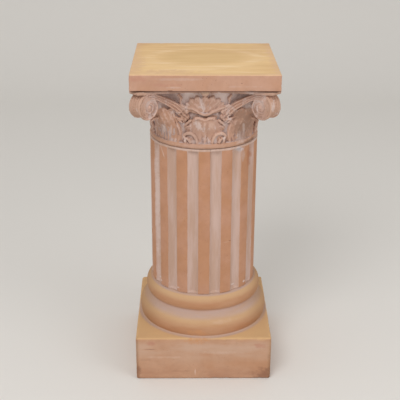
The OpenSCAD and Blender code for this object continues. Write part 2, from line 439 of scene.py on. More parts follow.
class Flutes:
    """Measures of the shaft's flutes, taken from the column's sizes."""

    def __init__(self, sizes):
        half = sizes.flute_width / 2
        self.count = sizes.flute_count
        self.step = 2 * math.pi / self.count
        self.edge = math.asin(half / SHAFT_RADIUS)
        self.top = SHAFT_HIGH.z - sizes.flute_stop
        # A round bar would cut each flute: its radius, and how far it is from the column's axis
        self.bar = (half ** 2 + sizes.flute_depth ** 2) / (2 * sizes.flute_depth)
        self.bar_distance = math.sqrt(SHAFT_RADIUS ** 2 - half ** 2) - sizes.flute_depth + self.bar

    def angles(self):
        """Angles of a grid's columns, closer together near the flutes' edges."""
        strip = self.step - 2 * self.edge
        across = np.concatenate([
            -self.edge * np.cos(np.linspace(0, math.pi, 15)),
            self.edge + strip * (0.5 - 0.5 * np.cos(np.linspace(0, math.pi, 10)))[1:-1],
        ])
        return np.concatenate([across + (i + 0.5) * self.step for i in range(self.count)]) - math.pi / 2

    def heights(self):
        """Heights of a grid's rows, closer together at both ends."""
        rows = np.concatenate([
            SHAFT_LOW.z + np.array([0, 0.8, 1.8, 3.0, 4.4]) * MM,
            np.linspace(SHAFT_LOW.z + 6 * MM, self.top - 9 * MM, 88),
            self.top - np.array([7.4, 6.0, 4.8, 3.6, 2.6, 1.7, 0.9, 0.3, -0.3, -1.2]) * MM,
            SHAFT_HIGH.z - np.array([1.4, 0.4, 0.0]) * MM,
        ])
        # Two more rows at each end run in to the axis and close the drum
        return np.concatenate([[rows[0], rows[0]], rows, [rows[-1], rows[-1]]])

    def floor(self, local):
        """Radius of a flute at its full depth, at an angle from its middle line."""
        inside = np.clip(self.bar ** 2 - (self.bar_distance * np.sin(local)) ** 2, 0, None)
        radius = self.bar_distance * np.cos(local) - np.sqrt(inside)
        return np.where(np.abs(local) < self.edge, np.minimum(radius, SHAFT_RADIUS), SHAFT_RADIUS)

    def cut(self, z):
        """Share of the full depth at a height: none at the top, shallower again at the foot."""
        from_top = np.clip((self.top - z) / FLUTE_SCOOP, 0, 1)
        return np.sqrt(1 - (1 - from_top) ** 2) * (0.45 + 0.55 * smoothstep(0, 5 * MM, z - SHAFT_LOW.z))


def around_axis(radius, angle, z):
    """Places at a radius and an angle round the column's axis."""
    return np.stack([radius * np.cos(angle), radius * np.sin(angle), z], axis=1)


def fluted_shaft(sizes):
    """A drum with round-bottomed flutes between flat strips; the strips' edges are worn."""
    flutes = Flutes(sizes)
    angles = flutes.angles()
    rows = flutes.heights()
    shaft, row, column = new_grid("Shaft", len(rows), len(angles))
    angle, z = angles[column], rows[row]
    local = (angle + math.pi / 2) % flutes.step - flutes.step / 2
    cut = flutes.cut(z)
    radius = SHAFT_RADIUS + (flutes.floor(local) - SHAFT_RADIUS) * cut
    place = around_axis(radius, angle, z)
    # Edges of the strips are softened, with a few deeper nicks
    to_edge = np.abs(np.abs(local) - flutes.edge) * SHAFT_RADIUS
    beside = 1 - smoothstep(0, 4 * MM, to_edge)
    nick = np.clip(clay_noise(place, 11 * MM, 3, 2.0) - 0.35, 0, None)
    end_wear = 0.5 * (1 - smoothstep(0, 1.5 * MM, np.minimum(z - SHAFT_LOW.z, SHAFT_HIGH.z - z)))
    radius -= (0.25 + 2.4 * nick) * MM * beside * cut + end_wear * MM
    from_end = np.minimum(row, len(rows) - 1 - row)
    radius = np.where(from_end == 0, 0, np.where(from_end == 1, 0.8 * SHAFT_RADIUS, radius))
    z = z + np.where(from_end < 2, np.sign((SHAFT_LOW.z + SHAFT_HIGH.z) / 2 - z) * 0.5 * MM, 0)
    move_points(shaft, around_axis(radius, angle, z))
    # Whitewash lies in the flutes and stops raggedly at their edges
    wash = smoothstep(-1.4 * MM, 1.4 * MM, (flutes.edge - np.abs(local)) * SHAFT_RADIUS)
    top_band = 0.40 * smoothstep(flutes.top - 22 * MM, SHAFT_HIGH.z, z)
    top_band += 0.40 * smoothstep(SHAFT_HIGH.z - 5 * MM, SHAFT_HIGH.z - 2 * MM, z)
    foot_band = 0.6 * (1 - smoothstep(0, 4 * MM, z - SHAFT_LOW.z))
    store(shaft, "washed", np.maximum(top_band, np.maximum(wash, foot_band)))
    return shaft


# ---------------------------------------------------------------- carved work
# Drawings of the leaves and scrolls are in millimetres: along the bell from the middle of
# a face, up from the foot of the capital, and out from the bell's surface.

ROOT_HALF = math.sqrt(0.5)


class Bell:
    """The capital's flaring core, and how drawings are wrapped round it."""

    def __init__(self, sizes):
        self.foot_radius = (SHAFT_RADIUS - sizes.bell_inset) / MM
        self.flare = sizes.bell_flare / MM
        self.foot = sizes.neck_ring_height / MM
        self.top = (CAPITAL_HEIGHT - sizes.abacus_thickness) / MM
        self.corner = math.pi / 4 * self.foot_radius

    def radius(self, up):
        """The bell's radius at a height."""
        rise = np.clip((up - self.foot) / (self.top - self.foot), 0, 1)
        return self.foot_radius + self.flare * rise ** 2.2

    def wrap(self, along, up, out):
        """Places on the bell for a drawing's points."""
        angle = along / self.foot_radius
        radius = self.radius(up) + out
        return np.stack([radius * np.sin(angle), -radius * np.cos(angle), up + 0 * angle], -1)

    def outward(self, along):
        """The level direction away from the column's axis."""
        angle = along / self.foot_radius
        return np.stack([np.sin(angle), -np.cos(angle), 0 * angle], -1)


def smooth_line(knots, count):
    """Points along a smooth curve through the knots, which may have any number of values."""
    knots = np.array(knots, float)
    ends = np.vstack([2 * knots[0] - knots[1], knots, 2 * knots[-1] - knots[-2]])
    place = np.linspace(0, len(knots) - 1, count)
    i = np.minimum(place.astype(int), len(knots) - 2)
    t = (place - i)[:, None]
    a, b, c, d = ends[i], ends[i + 1], ends[i + 2], ends[i + 3]
    return 0.5 * (2 * b + (c - a) * t + (2 * a - 5 * b + 4 * c - d) * t ** 2
                  + (3 * b - a - 3 * c + d) * t ** 3)


def unit(vectors):
    """The vectors, each made one long."""
    return vectors / np.maximum(np.linalg.norm(vectors, axis=-1, keepdims=True), 1e-9)


def grid_piece(name, points):
    """A grid whose points are moved to the given rows and columns of places, in millimetres."""
    piece, row, column = new_grid(name, *points.shape[:2])
    place = points[row, column] * MM
    place[:, 2] += CAPITAL_LOW.z
    move_points(piece, place)
    return piece


def close_tube(piece):
    """Stitches a wrapped grid's seam and closes both ends."""
    edit(piece)
    bpy.ops.mesh.remove_doubles(threshold=0.02 * MM)
    bpy.ops.mesh.fill_holes(sides=0)
    bpy.ops.mesh.select_all(action="SELECT")
    bpy.ops.mesh.normals_make_consistent(inside=False)
    close_edit()
    return piece


def sweep(name, centre, out, half_width, height, depth, section):
    """A solid ridge along a line: its section is given across the ridge, from -1 to 1."""
    count = len(centre)
    along = unit(np.gradient(centre, axis=0))
    across = unit(np.cross(out, along))
    out = unit(np.cross(along, across))
    half_width = np.broadcast_to(half_width, count)[:, None, None]
    height = np.broadcast_to(height, count)[:, None, None]
    depth = np.broadcast_to(depth, count)[:, None, None]
    a = np.linspace(-1, 1, 31)
    top = np.broadcast_to(section(a[None, :]), (count, len(a)))[:, :, None]
    upper = (centre[:, None] + across[:, None] * a[None, :, None] * half_width
             + out[:, None] * height * top)
    b = np.array([1.0, 0.0, -1.0])[None, :, None]
    lower = centre[:, None] + across[:, None] * b * half_width * 0.9 - out[:, None] * depth
    points = np.concatenate([upper, lower, upper[:, :1]], axis=1)
    return close_tube(grid_piece(name, points))


def rounded(a):
    """Half of a circle."""
    return np.sqrt(np.clip(1 - a * a, 0, 1))


def ribbed(a):
    """Three fine ridges side by side."""
    return 0.1 + 0.9 * (0.5 + 0.5 * np.cos(2 * math.pi * a / 0.74))


def with_midrib(a):
    """A rounded section with a fine rib along its middle."""
    return 0.75 * rounded(a) + 0.35 * bump(a / 0.3)


def ridge(name, bell, knots, half_width, height, depth=4.0, count=24):
    """A ridge on the bell through knots of (along, up, out)."""
    line = smooth_line(knots, count)
    centre = bell.wrap(line[:, 0], line[:, 1], line[:, 2])
    return sweep(name, centre, bell.outward(line[:, 0]), half_width, height, depth, rounded)


def petal(name, bell, foot, lean, length, width, lift):
    """A pointed petal from its foot, leaning by an angle from upright, its tip lifted."""
    t = np.linspace(0, 1, 16)
    along = foot[0] + length * t * math.sin(math.radians(lean))
    up = foot[1] + length * t * math.cos(math.radians(lean))
    out = foot[2] + lift * t ** 2
    half = width / 2 * np.clip(np.sin(math.pi * (0.08 + 0.88 * t ** 0.8)), 0.05, 1)
    return sweep(name, bell.wrap(along, up, out), bell.outward(along), half, 0.42 * half + 0.6,
                 4.5, with_midrib)


def palmette_petal(bell, lean, length, width, lift):
    """A blunt petal of the fan, widest near its rolled tip."""
    t = np.linspace(0, 1, 20)
    along = length * t * math.sin(math.radians(lean))
    up = 80 + length * t * math.cos(math.radians(lean))
    out = 2.0 + lift * t ** 2
    half = width / 2 * (0.28 + 0.72 * np.sin(math.pi / 2 * np.clip(t / 0.72, 0, 1)))
    half = half * np.sqrt(1 - 0.97 * np.clip((t - 0.78) / 0.22, 0, 1) ** 2)
    return sweep("Petal", bell.wrap(along, up, out), bell.outward(along), half, 0.3 * half + 1.2,
                 6.0, with_midrib)


def leaf(name, bell, middle, half_widths, stem, curl, relief, thickness, rim_lift, curl_share):
    """A leaf lying on the bell whose tip curls outwards where its share of the curl is above 0."""
    across = np.linspace(-1, 1, 61)
    rows = 64
    v = np.linspace(0, 1, rows)
    half = np.interp(v, np.linspace(0, 1, len(half_widths)), half_widths)
    half = np.convolve(np.pad(half, 2, mode="edge"), np.ones(5) / 5, "valid")
    u, v = np.meshgrid(across, v)
    along = u * half[:, None]
    bend = math.radians(200) * curl_share(along)
    length = stem + rim_lift(along)
    reach = v * (length + curl * bend)
    angle = np.clip((reach - length) / curl, 0, None)
    straight = np.minimum(reach, length)
    height = relief(along, u, v)
    out = 2.0 + 0.04 * straight + curl * (1 - np.cos(angle)) + height * np.cos(angle)
    up = bell.foot - 1 + straight + curl * np.sin(angle) - height * np.sin(angle)
    piece = grid_piece(name, bell.wrap(middle + along, up, out))
    modify(piece, "SOLIDIFY", thickness=thickness * MM, offset=-1.0)
    outward(piece)
    return piece


def bell_core(bell):
    """The neck ring and the bell as one turned solid."""
    ring = bell.foot
    full = SHAFT_RADIUS / MM
    profile = [(0, 0), (full - 4.2, 0), (full - 2.2, 1.5), (full - 0.7, 0.26 * ring), (full, 0.46 * ring),
               (full - 0.4, 0.64 * ring), (full - 1.9, 0.82 * ring), (full - 4.0, 0.95 * ring),
               (full - 6, ring)]
    for up in np.linspace(bell.foot, bell.top, 16):
        profile.append((bell.radius(up), up))
    profile.append((0, bell.top))
    return spun("Bell", [(r * MM, z * MM + CAPITAL_LOW.z) for r, z in profile], 180)


def abacus(bell, sizes):
    """The thin plate over the bell: four hollow sides and blunt corners."""
    slab_half = SLAB_HIGH.x / MM
    middle = slab_half - sizes.abacus_hollow / MM
    reach = math.sqrt(2) * slab_half - sizes.scroll_inset / MM
    blunt = sizes.scroll_width / 2 / MM - 2
    tip_x = (reach - blunt) * ROOT_HALF
    tip_y = (reach + blunt) * ROOT_HALF
    along = np.linspace(-tip_x, tip_x, 25)
    side = [(x, -middle - (tip_y - middle) * (x / tip_x) ** 2) for x in along]
    outline = [Matrix.Rotation(k * math.pi / 2, 2) @ Vector(p) for k in range(4) for p in side]
    points = np.array([(p.x, p.y) for p in outline])
    rows = []
    for up, inset in ((bell.top - 1, 0.985), (bell.top + 1, 1.0), (bell.top + 5.5, 1.0),
                      (bell.top + 6.6, 0.975), (bell.top + 8, 0.97)):
        row = np.column_stack([points * inset, np.full(len(points), up)])
        rows.append(np.vstack([row, row[:1]]))
    return close_tube(grid_piece("Abacus", np.array(rows)))


# ---- corner scrolls: distances along the diagonal, across it, and up

SCROLL_EYE = (175.5, 97.5)
# How far a scroll's spiral band and eye are set in from its two faces
FACE_INSET = 1.4
# Outer edge of the spiral band from its eye, at every sixth of a turn from the top
SPIRAL_EDGE = (30.0, 31.5, 31.5, 28.6, 24.6, 22.3, 19.6, 18.2, 16.6, 14.2, 11.6, 9.8, 8.4,
               7.4, 6.4, 5.4, 4.6, 4.0, 3.4, 3.0)


def from_diagonal(away, aside, up):
    """Place of a point given along and across the front right diagonal."""
    return np.stack([(away + aside) * ROOT_HALF, (aside - away) * ROOT_HALF, up], -1)


def spiral_line(face, turns, per_turn):
    """Centre line, half width and turn count of the band on a scroll's face."""
    edges = smooth_line([(e,) for e in SPIRAL_EDGE], (len(SPIRAL_EDGE) - 1) * 30 + 1)[:, 0]
    turn = np.linspace(0, turns, int(turns * per_turn))
    at = np.linspace(0, (len(SPIRAL_EDGE) - 1) / 6, len(edges))
    outer = np.interp(turn, at, edges)
    inner = np.interp(turn + 1, at, edges)
    angle = math.radians(118) - 2 * math.pi * turn
    radius = (outer + inner) / 2
    away = SCROLL_EYE[0] + radius * np.cos(angle)
    up = SCROLL_EYE[1] + radius * np.sin(angle)
    return away, np.full(len(away), face), up, (outer - inner) / 2 - 0.25, turn


def stem_and_spiral(sizes):
    """The ribbed stem that rises from the leaves and rolls up on the right scroll's near face."""
    face = FACE_INSET - sizes.scroll_width / 2 / MM
    away, aside, up, half, turn = spiral_line(face, 2.05, 64)
    spiral = from_diagonal(away, aside, up)
    stem = np.array([(48, -118, 83.5), (53.5, -120.5, 89.5), (61, -122.5, 96), (70.5, -123.6, 102.3),
                     (83, -124.2, 109), (96, -124.6, 115), spiral[0], spiral[3]])
    rise = smooth_line(stem, 44)[:-7]
    centre = np.vstack([rise, spiral[1:]])
    t = np.linspace(0, 1, len(rise))
    width = np.concatenate([np.interp(t, [0, 0.12, 0.5, 1], [6.0, 8.2, 7.6, half[0]]), half[1:]])
    outs = np.vstack([
        unit(np.column_stack([0.1 - 0.8 * t ** 3, np.full(len(t), -1.0), 0.1 - 0.1 * t])),
        np.tile((-ROOT_HALF, -ROOT_HALF, 0), (len(spiral) - 1, 1))])
    depth = np.concatenate([np.interp(t, [0, 0.25, 0.7, 1], [5, 12, 24, 10]),
                            np.full(len(spiral) - 1, 3.0)])
    height = np.concatenate([np.full(len(t), 3.4), np.interp(turn[1:], [0, 1, 2.05], [3.6, 3.4, 3.4])])
    wound = np.concatenate([0 * t, smoothstep(0.15, 0.60, turn[1:])])[:, None]

    def section(a):
        """Ribbed on the stem, one raised edge on the spiral."""
        rolled = 0.20 + 0.80 * bump((a - 0.66) / 0.42)
        return ribbed(a) * (1 - wound) + rolled * wound

    return sweep("Stem", centre, outs, width, height, depth, section)


def scroll_eye(sizes):
    """The button in the middle of the right scroll's near face."""
    deselect_all()
    bpy.ops.mesh.primitive_uv_sphere_add(segments=20, ring_count=12, radius=1)
    eye = bpy.context.object
    eye.name = "Eye"
    eye.scale = (3.6 * MM, 3.0 * MM, 3.8 * MM)
    face = FACE_INSET - sizes.scroll_width / 2 / MM
    eye.rotation_euler.z = -math.pi / 4
    place = from_diagonal(SCROLL_EYE[0], face - 0.2, SCROLL_EYE[1]) * MM
    eye.location = place + np.array((0, 0, CAPITAL_LOW.z))
    bake_place(eye)
    return eye


def scroll_drum(sizes):
    """The drum between a scroll's two faces, with beads, grooves and scales round its rim."""
    radius = sizes.scroll_radius / MM - 0.4
    half = sizes.scroll_width / 2 / MM - 1.2
    away, up = SCROLL_EYE[0] + 4.6, SCROLL_EYE[1] + 3.2
    # Half of the rim's section: share of the half width, and how far it lies below the rim
    aside = np.array([-1, -1, -0.92, -0.84, -0.74, -0.64, -0.5, -0.38, -0.26, -0.14, -0.04, 0])
    drop = np.array([0, 1.2, 0.2, 0.6, 3.0, 1.6, 0.2, 0.8, 3.0, 1.4, 0.3, 0.1])
    aside = np.concatenate([aside, -aside[-2::-1]])
    drop = np.concatenate([drop, drop[-2::-1]])
    turns = np.linspace(0, 2 * math.pi, 109)[:, None]
    scales = 1.3 * (np.abs(np.sin(13 * turns)) - 1) * (np.abs(aside) < 0.2)
    size = np.where(drop == 0, 0.0, radius - drop + scales)
    size[:, 0] = 0
    size[:, -1] = 0
    points = from_diagonal(away + size * np.cos(turns), half * aside[None, :] + 0 * turns,
                           up + size * np.sin(turns))
    points = points.transpose(1, 0, 2)[1:-1]
    return close_tube(grid_piece("Drum", points))


def scroll_web():
    """The solid clay between the bell and a scroll."""
    knots = np.array([
        # along the diagonal, half width, lowest, highest
        (112, 44, 64, 127), (124, 30, 68, 127), (136, 19, 72, 126), (148, 11, 76, 126),
        (160, 8, 82, 125), (172, 8, 88, 122)])
    line = smooth_line(knots, 16)
    turns = np.linspace(0, 2 * math.pi, 33)
    shape_x = np.sign(np.cos(turns)) * np.abs(np.cos(turns)) ** 0.7
    shape_z = np.sign(np.sin(turns)) * np.abs(np.sin(turns)) ** 0.7
    middle = (line[:, 2] + line[:, 3])[:, None] / 2
    tall = (line[:, 3] - line[:, 2])[:, None] / 2
    points = from_diagonal(line[:, :1] + 0 * shape_x, line[:, 1:2] * shape_x, middle + tall * shape_z)
    return close_tube(grid_piece("Web", points))


# ---- one face of the capital

# Half widths of the two broad leaves, evenly spaced from foot to tip
SIDE_LEAF_WIDTHS = (30, 38, 44, 46, 45, 40, 36, 40, 43, 42, 37, 32, 28, 22, 17)
CORNER_LEAF_WIDTHS = (38, 41, 43, 43, 42, 40, 37, 34, 30)
# Petals of the palmette from its middle outwards: lean in degrees, length, width
PALMETTE = ((0, 41, 15), (21, 42, 15.5), (40, 43, 15.5), (57, 43, 14), (72, 38, 11))
# Small ragged leaves from which a stem rises: foot (along, up, out), lean in degrees, length
RAGGED_LEAVES = (
    ((33, 74, 3.0), 20, 15), ((36, 71, 5.5), 38, 18), ((39, 68, 3.5), 56, 20),
    ((43, 64, 5.5), 70, 20), ((38, 80, 5.0), 8, 11), ((42, 78, 6.5), 30, 14),
    ((46, 74, 6.0), 52, 15), ((35, 66, 4.5), -18, 10), ((42, 58, 3.0), 20, 16),
    ((47, 56, 5.0), 34, 16), ((52, 56, 3.0), 48, 17), ((40, 62, 5.0), -24, 12),
    ((54, 62, 5.0), 40, 16), ((60, 68, 3.5), 36, 16), ((52, 66, 2.5), 34, 20),
    ((50, 72, 3.0), 46, 20),
)


def side_leaf(bell):
    """The broad leaf in the middle of a face; its tip is two lobes that curl over."""
    def relief(along, u, v):
        midrib = 1.4 * bump(along / 3.4) * (1 - smoothstep(0.70, 0.82, v))
        beside = -0.8 * bump((np.abs(along) - 5.5) / 4) * (1 - smoothstep(0.70, 0.82, v))
        belly = 6.5 * bump(along / 46) * smoothstep(0.0, 0.80, v) * (1 - smoothstep(0.84, 1.0, v))
        edge = -2.0 * smoothstep(0.80, 1.0, np.abs(u))
        return midrib + beside + belly + edge

    def rim_lift(along):
        return 3.0 * bump((np.abs(along) - 12) / 11) - 3.5 * smoothstep(20, 36, np.abs(along))

    def curl_share(along):
        return 1 - 0.3 * smoothstep(18, 26, np.abs(along))

    return leaf("Side leaf", bell, 0, SIDE_LEAF_WIDTHS, 55, 2.3, relief, 3.2, rim_lift, curl_share)


def corner_leaf(bell):
    """The ribbed leaf under a scroll."""
    def relief(along, u, v):
        deep = (1.7 + 0.5 * np.sin(9 * u)) * (0.75 + 0.35 * np.sin(7 * v + 4 * u))
        ribs = deep * (0.5 + 0.5 * np.cos(2 * math.pi * 4.5 * u + 1.2 * u * u))
        lean = 20 * bump(along / 40) * smoothstep(0.18, 0.80, v)
        return ribs * (1 - 0.6 * smoothstep(0.92, 1.0, v)) + lean - 2.2 * smoothstep(0.9, 1.0, np.abs(u))

    def rim_lift(along):
        shoulder = 1 - smoothstep(28, 42, np.abs(along))
        return 23 * shoulder + 2.0 * np.sin(along / 1.9) * shoulder

    def curl_share(along):
        return 0 * along

    return leaf("Corner leaf", bell, bell.corner, CORNER_LEAF_WIDTHS, 52, 4.5, relief, 7.0, rim_lift,
                curl_share)


def corner_tip(bell):
    """The point of the corner leaf, which rolls outwards under the scroll."""
    foot = bell.foot_radius + 3
    line = smooth_line([(foot + 9, 55), (foot + 15, 61), (foot + 24, 64.5), (foot + 34, 64.5),
                        (foot + 42, 61.5)], 24)
    step = unit(np.gradient(line, axis=0))
    flat = np.zeros(len(line))
    centre = from_diagonal(line[:, 0], flat, line[:, 1])
    out = from_diagonal(step[:, 1], flat, -step[:, 0])
    half_width = np.interp(np.linspace(0, 1, len(line)), [0, 0.4, 0.8, 1], [5.5, 5, 3.5, 1.8])
    return sweep("Corner tip", centre, out, half_width, 1.8, 2.8, rounded)


def small_curl(bell, along, up, size, name):
    """A little spiral on the bell."""
    turn = np.linspace(0, 1.55, 40)
    radius = size * (1 - 0.52 * turn)
    angle = math.radians(60) + 2 * math.pi * turn
    knots = np.column_stack([along + radius * np.cos(angle), up + radius * np.sin(angle),
                             5.2 + 0.8 * turn])
    half = np.interp(turn, [0, 1.55], [1.7, 1.1])
    return ridge(name, bell, knots[::3], half.mean(), 1.7, depth=6.0, count=40)


def right_half(bell, sizes):
    """Everything on the right half of a face that the left half mirrors."""
    parts = [
        stem_and_spiral(sizes),
        scroll_eye(sizes),
        small_curl(bell, 36.5, 84.5, 5.0, "Small curl"),
        # The side leaf's lower lobe
        ridge("Low lobe", bell, [(15, 14, 3), (18, 24, 4.5), (23, 32, 5.5), (30, 36, 6.5), (38, 34.5, 6.5),
                                 (43, 29, 6), (40, 23.5, 5.5), (34.5, 24, 4.5)],
              np.interp(np.linspace(0, 1, 34), [0, 0.5, 1], [2.6, 3.6, 2.0]), 1.5, count=34),
        ridge("Low bud", bell, [(29, 14, 3.5), (31.5, 19, 5.5), (33.5, 23, 5)], 3.2, 2.2, count=10),
        ridge("Low bud", bell, [(40, 14, 3), (41, 18, 4.5), (40.5, 22, 4)], 2.8, 2.0, count=10),
        # The side leaf's upper lobe
        ridge("High lobe", bell, [(26, 67, 8), (30, 63.5, 7.5), (36, 57.5, 7), (42, 51, 5.5)],
              np.interp(np.linspace(0, 1, 20), [0, 0.5, 1], [2.0, 2.8, 1.6]), 2.6, count=20),
        ridge("High fold", bell, [(20, 46, 4.5), (27, 51, 5), (34, 51, 5), (40, 46, 4)],
              2.0, 1.4, count=20),
    ]
    for foot, lean, length in RAGGED_LEAVES:
        parts.append(petal("Ragged leaf", bell, foot, lean, length, 5.0, 5.0))
    parts.append(ridge("Sheath", bell, [(42, 58, 0.0), (43.5, 70, 1.0), (46, 82, 3.0), (51, 92, 6.0)],
                       np.interp(np.linspace(0, 1, 20), [0, 0.5, 1], [5.0, 7.0, 8.0]), 2.2,
                       depth=8.0, count=20))
    for lean, length, width in PALMETTE[1:]:
        parts.append(palmette_petal(bell, lean, length, width, 5.5 - lean / 18))
    # A tendril leaves the palmette and runs up to the abacus
    parts.append(ridge("Tendril", bell, [(46, 99, 3), (47, 107, 5), (45, 114, 6), (50, 121, 6)],
                       2.2, 1.4, count=18))
    return parts


def face_middle(bell):
    """What lies on the middle line of a face."""
    under_palmette = [
        (-47, 99, 7.5), (-36, 94.5, 6), (-25, 93, 5.5), (-15.5, 88, 5.5), (-8, 82, 5.5),
        (0, 79.6, 5.5), (8, 81, 5.5), (15.5, 86, 5.5), (25, 91, 5.5), (36, 95, 6), (47, 99.5, 7.5)]
    return [
        side_leaf(bell),
        palmette_petal(bell, *PALMETTE[0], 7.0),
        ridge("Calyx", bell, under_palmette, 3.1, 2.7, count=60),
        ridge("Fleuron", bell, [(0, 124, 7), (0, 127, 10.5), (0, 131, 12), (0, 134.5, 11)],
              np.array([5, 8, 10, 10.5]).repeat(3), 3.0, count=12, depth=12),
    ]


def roughen(capital, bell):
    """Makes the casting uneven all over, and rougher where the small ragged leaves are."""
    co = points_of(capital)
    along = np.abs((np.arctan2(co[:, 0], -co[:, 1]) + math.pi / 4) % (math.pi / 2) - math.pi / 4)
    ragged = bump((along * bell.foot_radius - 43) / 22)
    ragged *= bump(((co[:, 2] - CAPITAL_LOW.z) / MM - 74) / 28)
    broad = clay_noise(co, 14 * MM, 2, 11.0) * 0.5
    fine = clay_noise(co, 4.5 * MM, 2, 4.0) * (0.45 + 0.9 * ragged)
    co = co + normals_of(capital) * ((broad + fine) * MM)[:, None]
    co[:, 2] = np.clip(co[:, 2], CAPITAL_LOW.z, CAPITAL_HIGH.z)
    move_points(capital, co)


def carved_capital(sizes):
    """The whole capital: one quarter carved and copied round, then united into one casting."""
    bell = Bell(sizes)
    right = join(right_half(bell, sizes), "Right half")
    left = copy_of(right, Matrix.Diagonal((-1, 1, 1, 1)))
    corner = [corner_leaf(bell), scroll_web(), scroll_drum(sizes), corner_tip(bell)]
    quarter = join([right, left, *face_middle(bell), *corner], "Quarter")
    quarters = [quarter]
    for k in (1, 2, 3):
        quarters.append(copy_of(quarter, Matrix.Rotation(k * math.pi / 2, 4, "Z")))
    capital = join([bell_core(bell), abacus(bell, sizes), *quarters], "Capital")
    modify(capital, "REMESH", mode="VOXEL", voxel_size=CAPITAL_VOXEL)
    modify(capital, "SMOOTH", factor=0.5, iterations=1)
    thin_out(capital, CAPITAL_TRIANGLES)
    roughen(capital, bell)
    return capital


# ---------------------------------------------------------------- materials

def add_socket(group, name, kind, way, default=None):
    """Adds an input or an output to a node group."""
    socket = group.interface.new_socket(name=name, in_out=way, socket_type=kind)
    if default is not None:
        socket.default_value = default


class Graph:
    """Short calls for adding and joining shader nodes."""

    def __init__(self, tree):
        self.tree = tree
        self.links = tree.links

    def node(self, kind, **values):
        """Adds a node with these settings."""
        made = self.tree.nodes.new(kind)
        for name, value in values.items():
            setattr(made, name, value)
        return made

    def feed(self, socket, value):
        """Joins an output to the socket, or gives it a fixed number or colour."""
        if isinstance(value, bpy.types.NodeSocket):
            self.links.new(value, socket)
        elif hasattr(value, "__len__") and len(value) == 3 and socket.type == "RGBA":
            socket.default_value = (*value, 1)
        else:
            socket.default_value = value

    def noise(self, where, scale, detail=4.0, rough=0.55, stretch=None, distortion=0.0):
        """Noise between 0 and 1; stretch multiplies the coordinates first."""
        if stretch:
            mapping = self.node("ShaderNodeMapping")
            mapping.inputs["Scale"].default_value = stretch
            self.feed(mapping.inputs["Vector"], where)
            where = mapping.outputs["Vector"]
        made = self.node("ShaderNodeTexNoise")
        self.feed(made.inputs["Vector"], where)
        made.inputs["Scale"].default_value = scale
        made.inputs["Detail"].default_value = detail
        made.inputs["Roughness"].default_value = rough
        made.inputs["Distortion"].default_value = distortion
        return made.outputs["Fac"]

    def band(self, value, low, high, start=0.0, end=1.0):
        """A smooth step from start to end as value goes from low to high."""
        made = self.node("ShaderNodeMapRange", interpolation_type="SMOOTHSTEP")
        self.feed(made.inputs["Value"], value)
        for name, x in (("From Min", low), ("From Max", high), ("To Min", start), ("To Max", end)):
            self.feed(made.inputs[name], x)
        return made.outputs["Result"]

    def math(self, operation, a, b=0.0):
        """One step of arithmetic; either value may be a number or an output."""
        made = self.node("ShaderNodeMath", operation=operation)
        self.feed(made.inputs[0], a)
        self.feed(made.inputs[1], b)
        return made.outputs[0]

    def times(self, a, b):
        """The product of two values."""
        return self.math("MULTIPLY", a, b)

    def plus(self, a, b):
        """The sum of two values."""
        return self.math("ADD", a, b)

    def minus(self, a, b):
        """The first value less the second."""
        return self.math("SUBTRACT", a, b)

    def mix(self, factor, a, b, blend="MIX"):
        """Goes from colour a to colour b as the factor goes from 0 to 1."""
        made = self.node("ShaderNodeMix", data_type="RGBA", blend_type=blend)
        self.feed(made.inputs["Factor"], factor)
        self.feed(made.inputs["A"], a)
        self.feed(made.inputs["B"], b)
        return next(s for s in made.outputs if s.type == "RGBA" and s.enabled)

    def attribute(self, name):
        """A value that the piece keeps at each of its points."""
        return self.node("ShaderNodeAttribute", attribute_name=name).outputs["Fac"]

    def spot(self, across, up, ragged, middle, half, lean=0.0):
        """An oval mark with a ragged rim, sizes in millimetres: 1 in its middle, 0 at its rim."""
        aside = self.minus(across, middle[0] * MM)
        above = self.minus(up, middle[1] * MM)
        aside = self.minus(aside, self.times(above, lean))
        aside = self.math("DIVIDE", aside, half[0] * MM)
        above = self.math("DIVIDE", above, half[1] * MM)
        far = self.plus(self.times(aside, aside), self.times(above, above))
        return self.band(self.plus(far, ragged), 1.0, 0.0)

    def marks(self, colour, where, across, up, shown, marks):
        """Lays marks over a colour; each is middle, half sizes, lean, strength and its own colour."""
        ragged = self.minus(self.noise(where, 75, 4, 0.65), 0.45)
        ragged = self.times(ragged, 2.6)
        for middle, half, lean, strength, own in marks:
            amount = self.times(self.spot(across, up, ragged, middle, half, lean), shown)
            colour = self.mix(self.times(amount, strength), colour, own)
        return colour


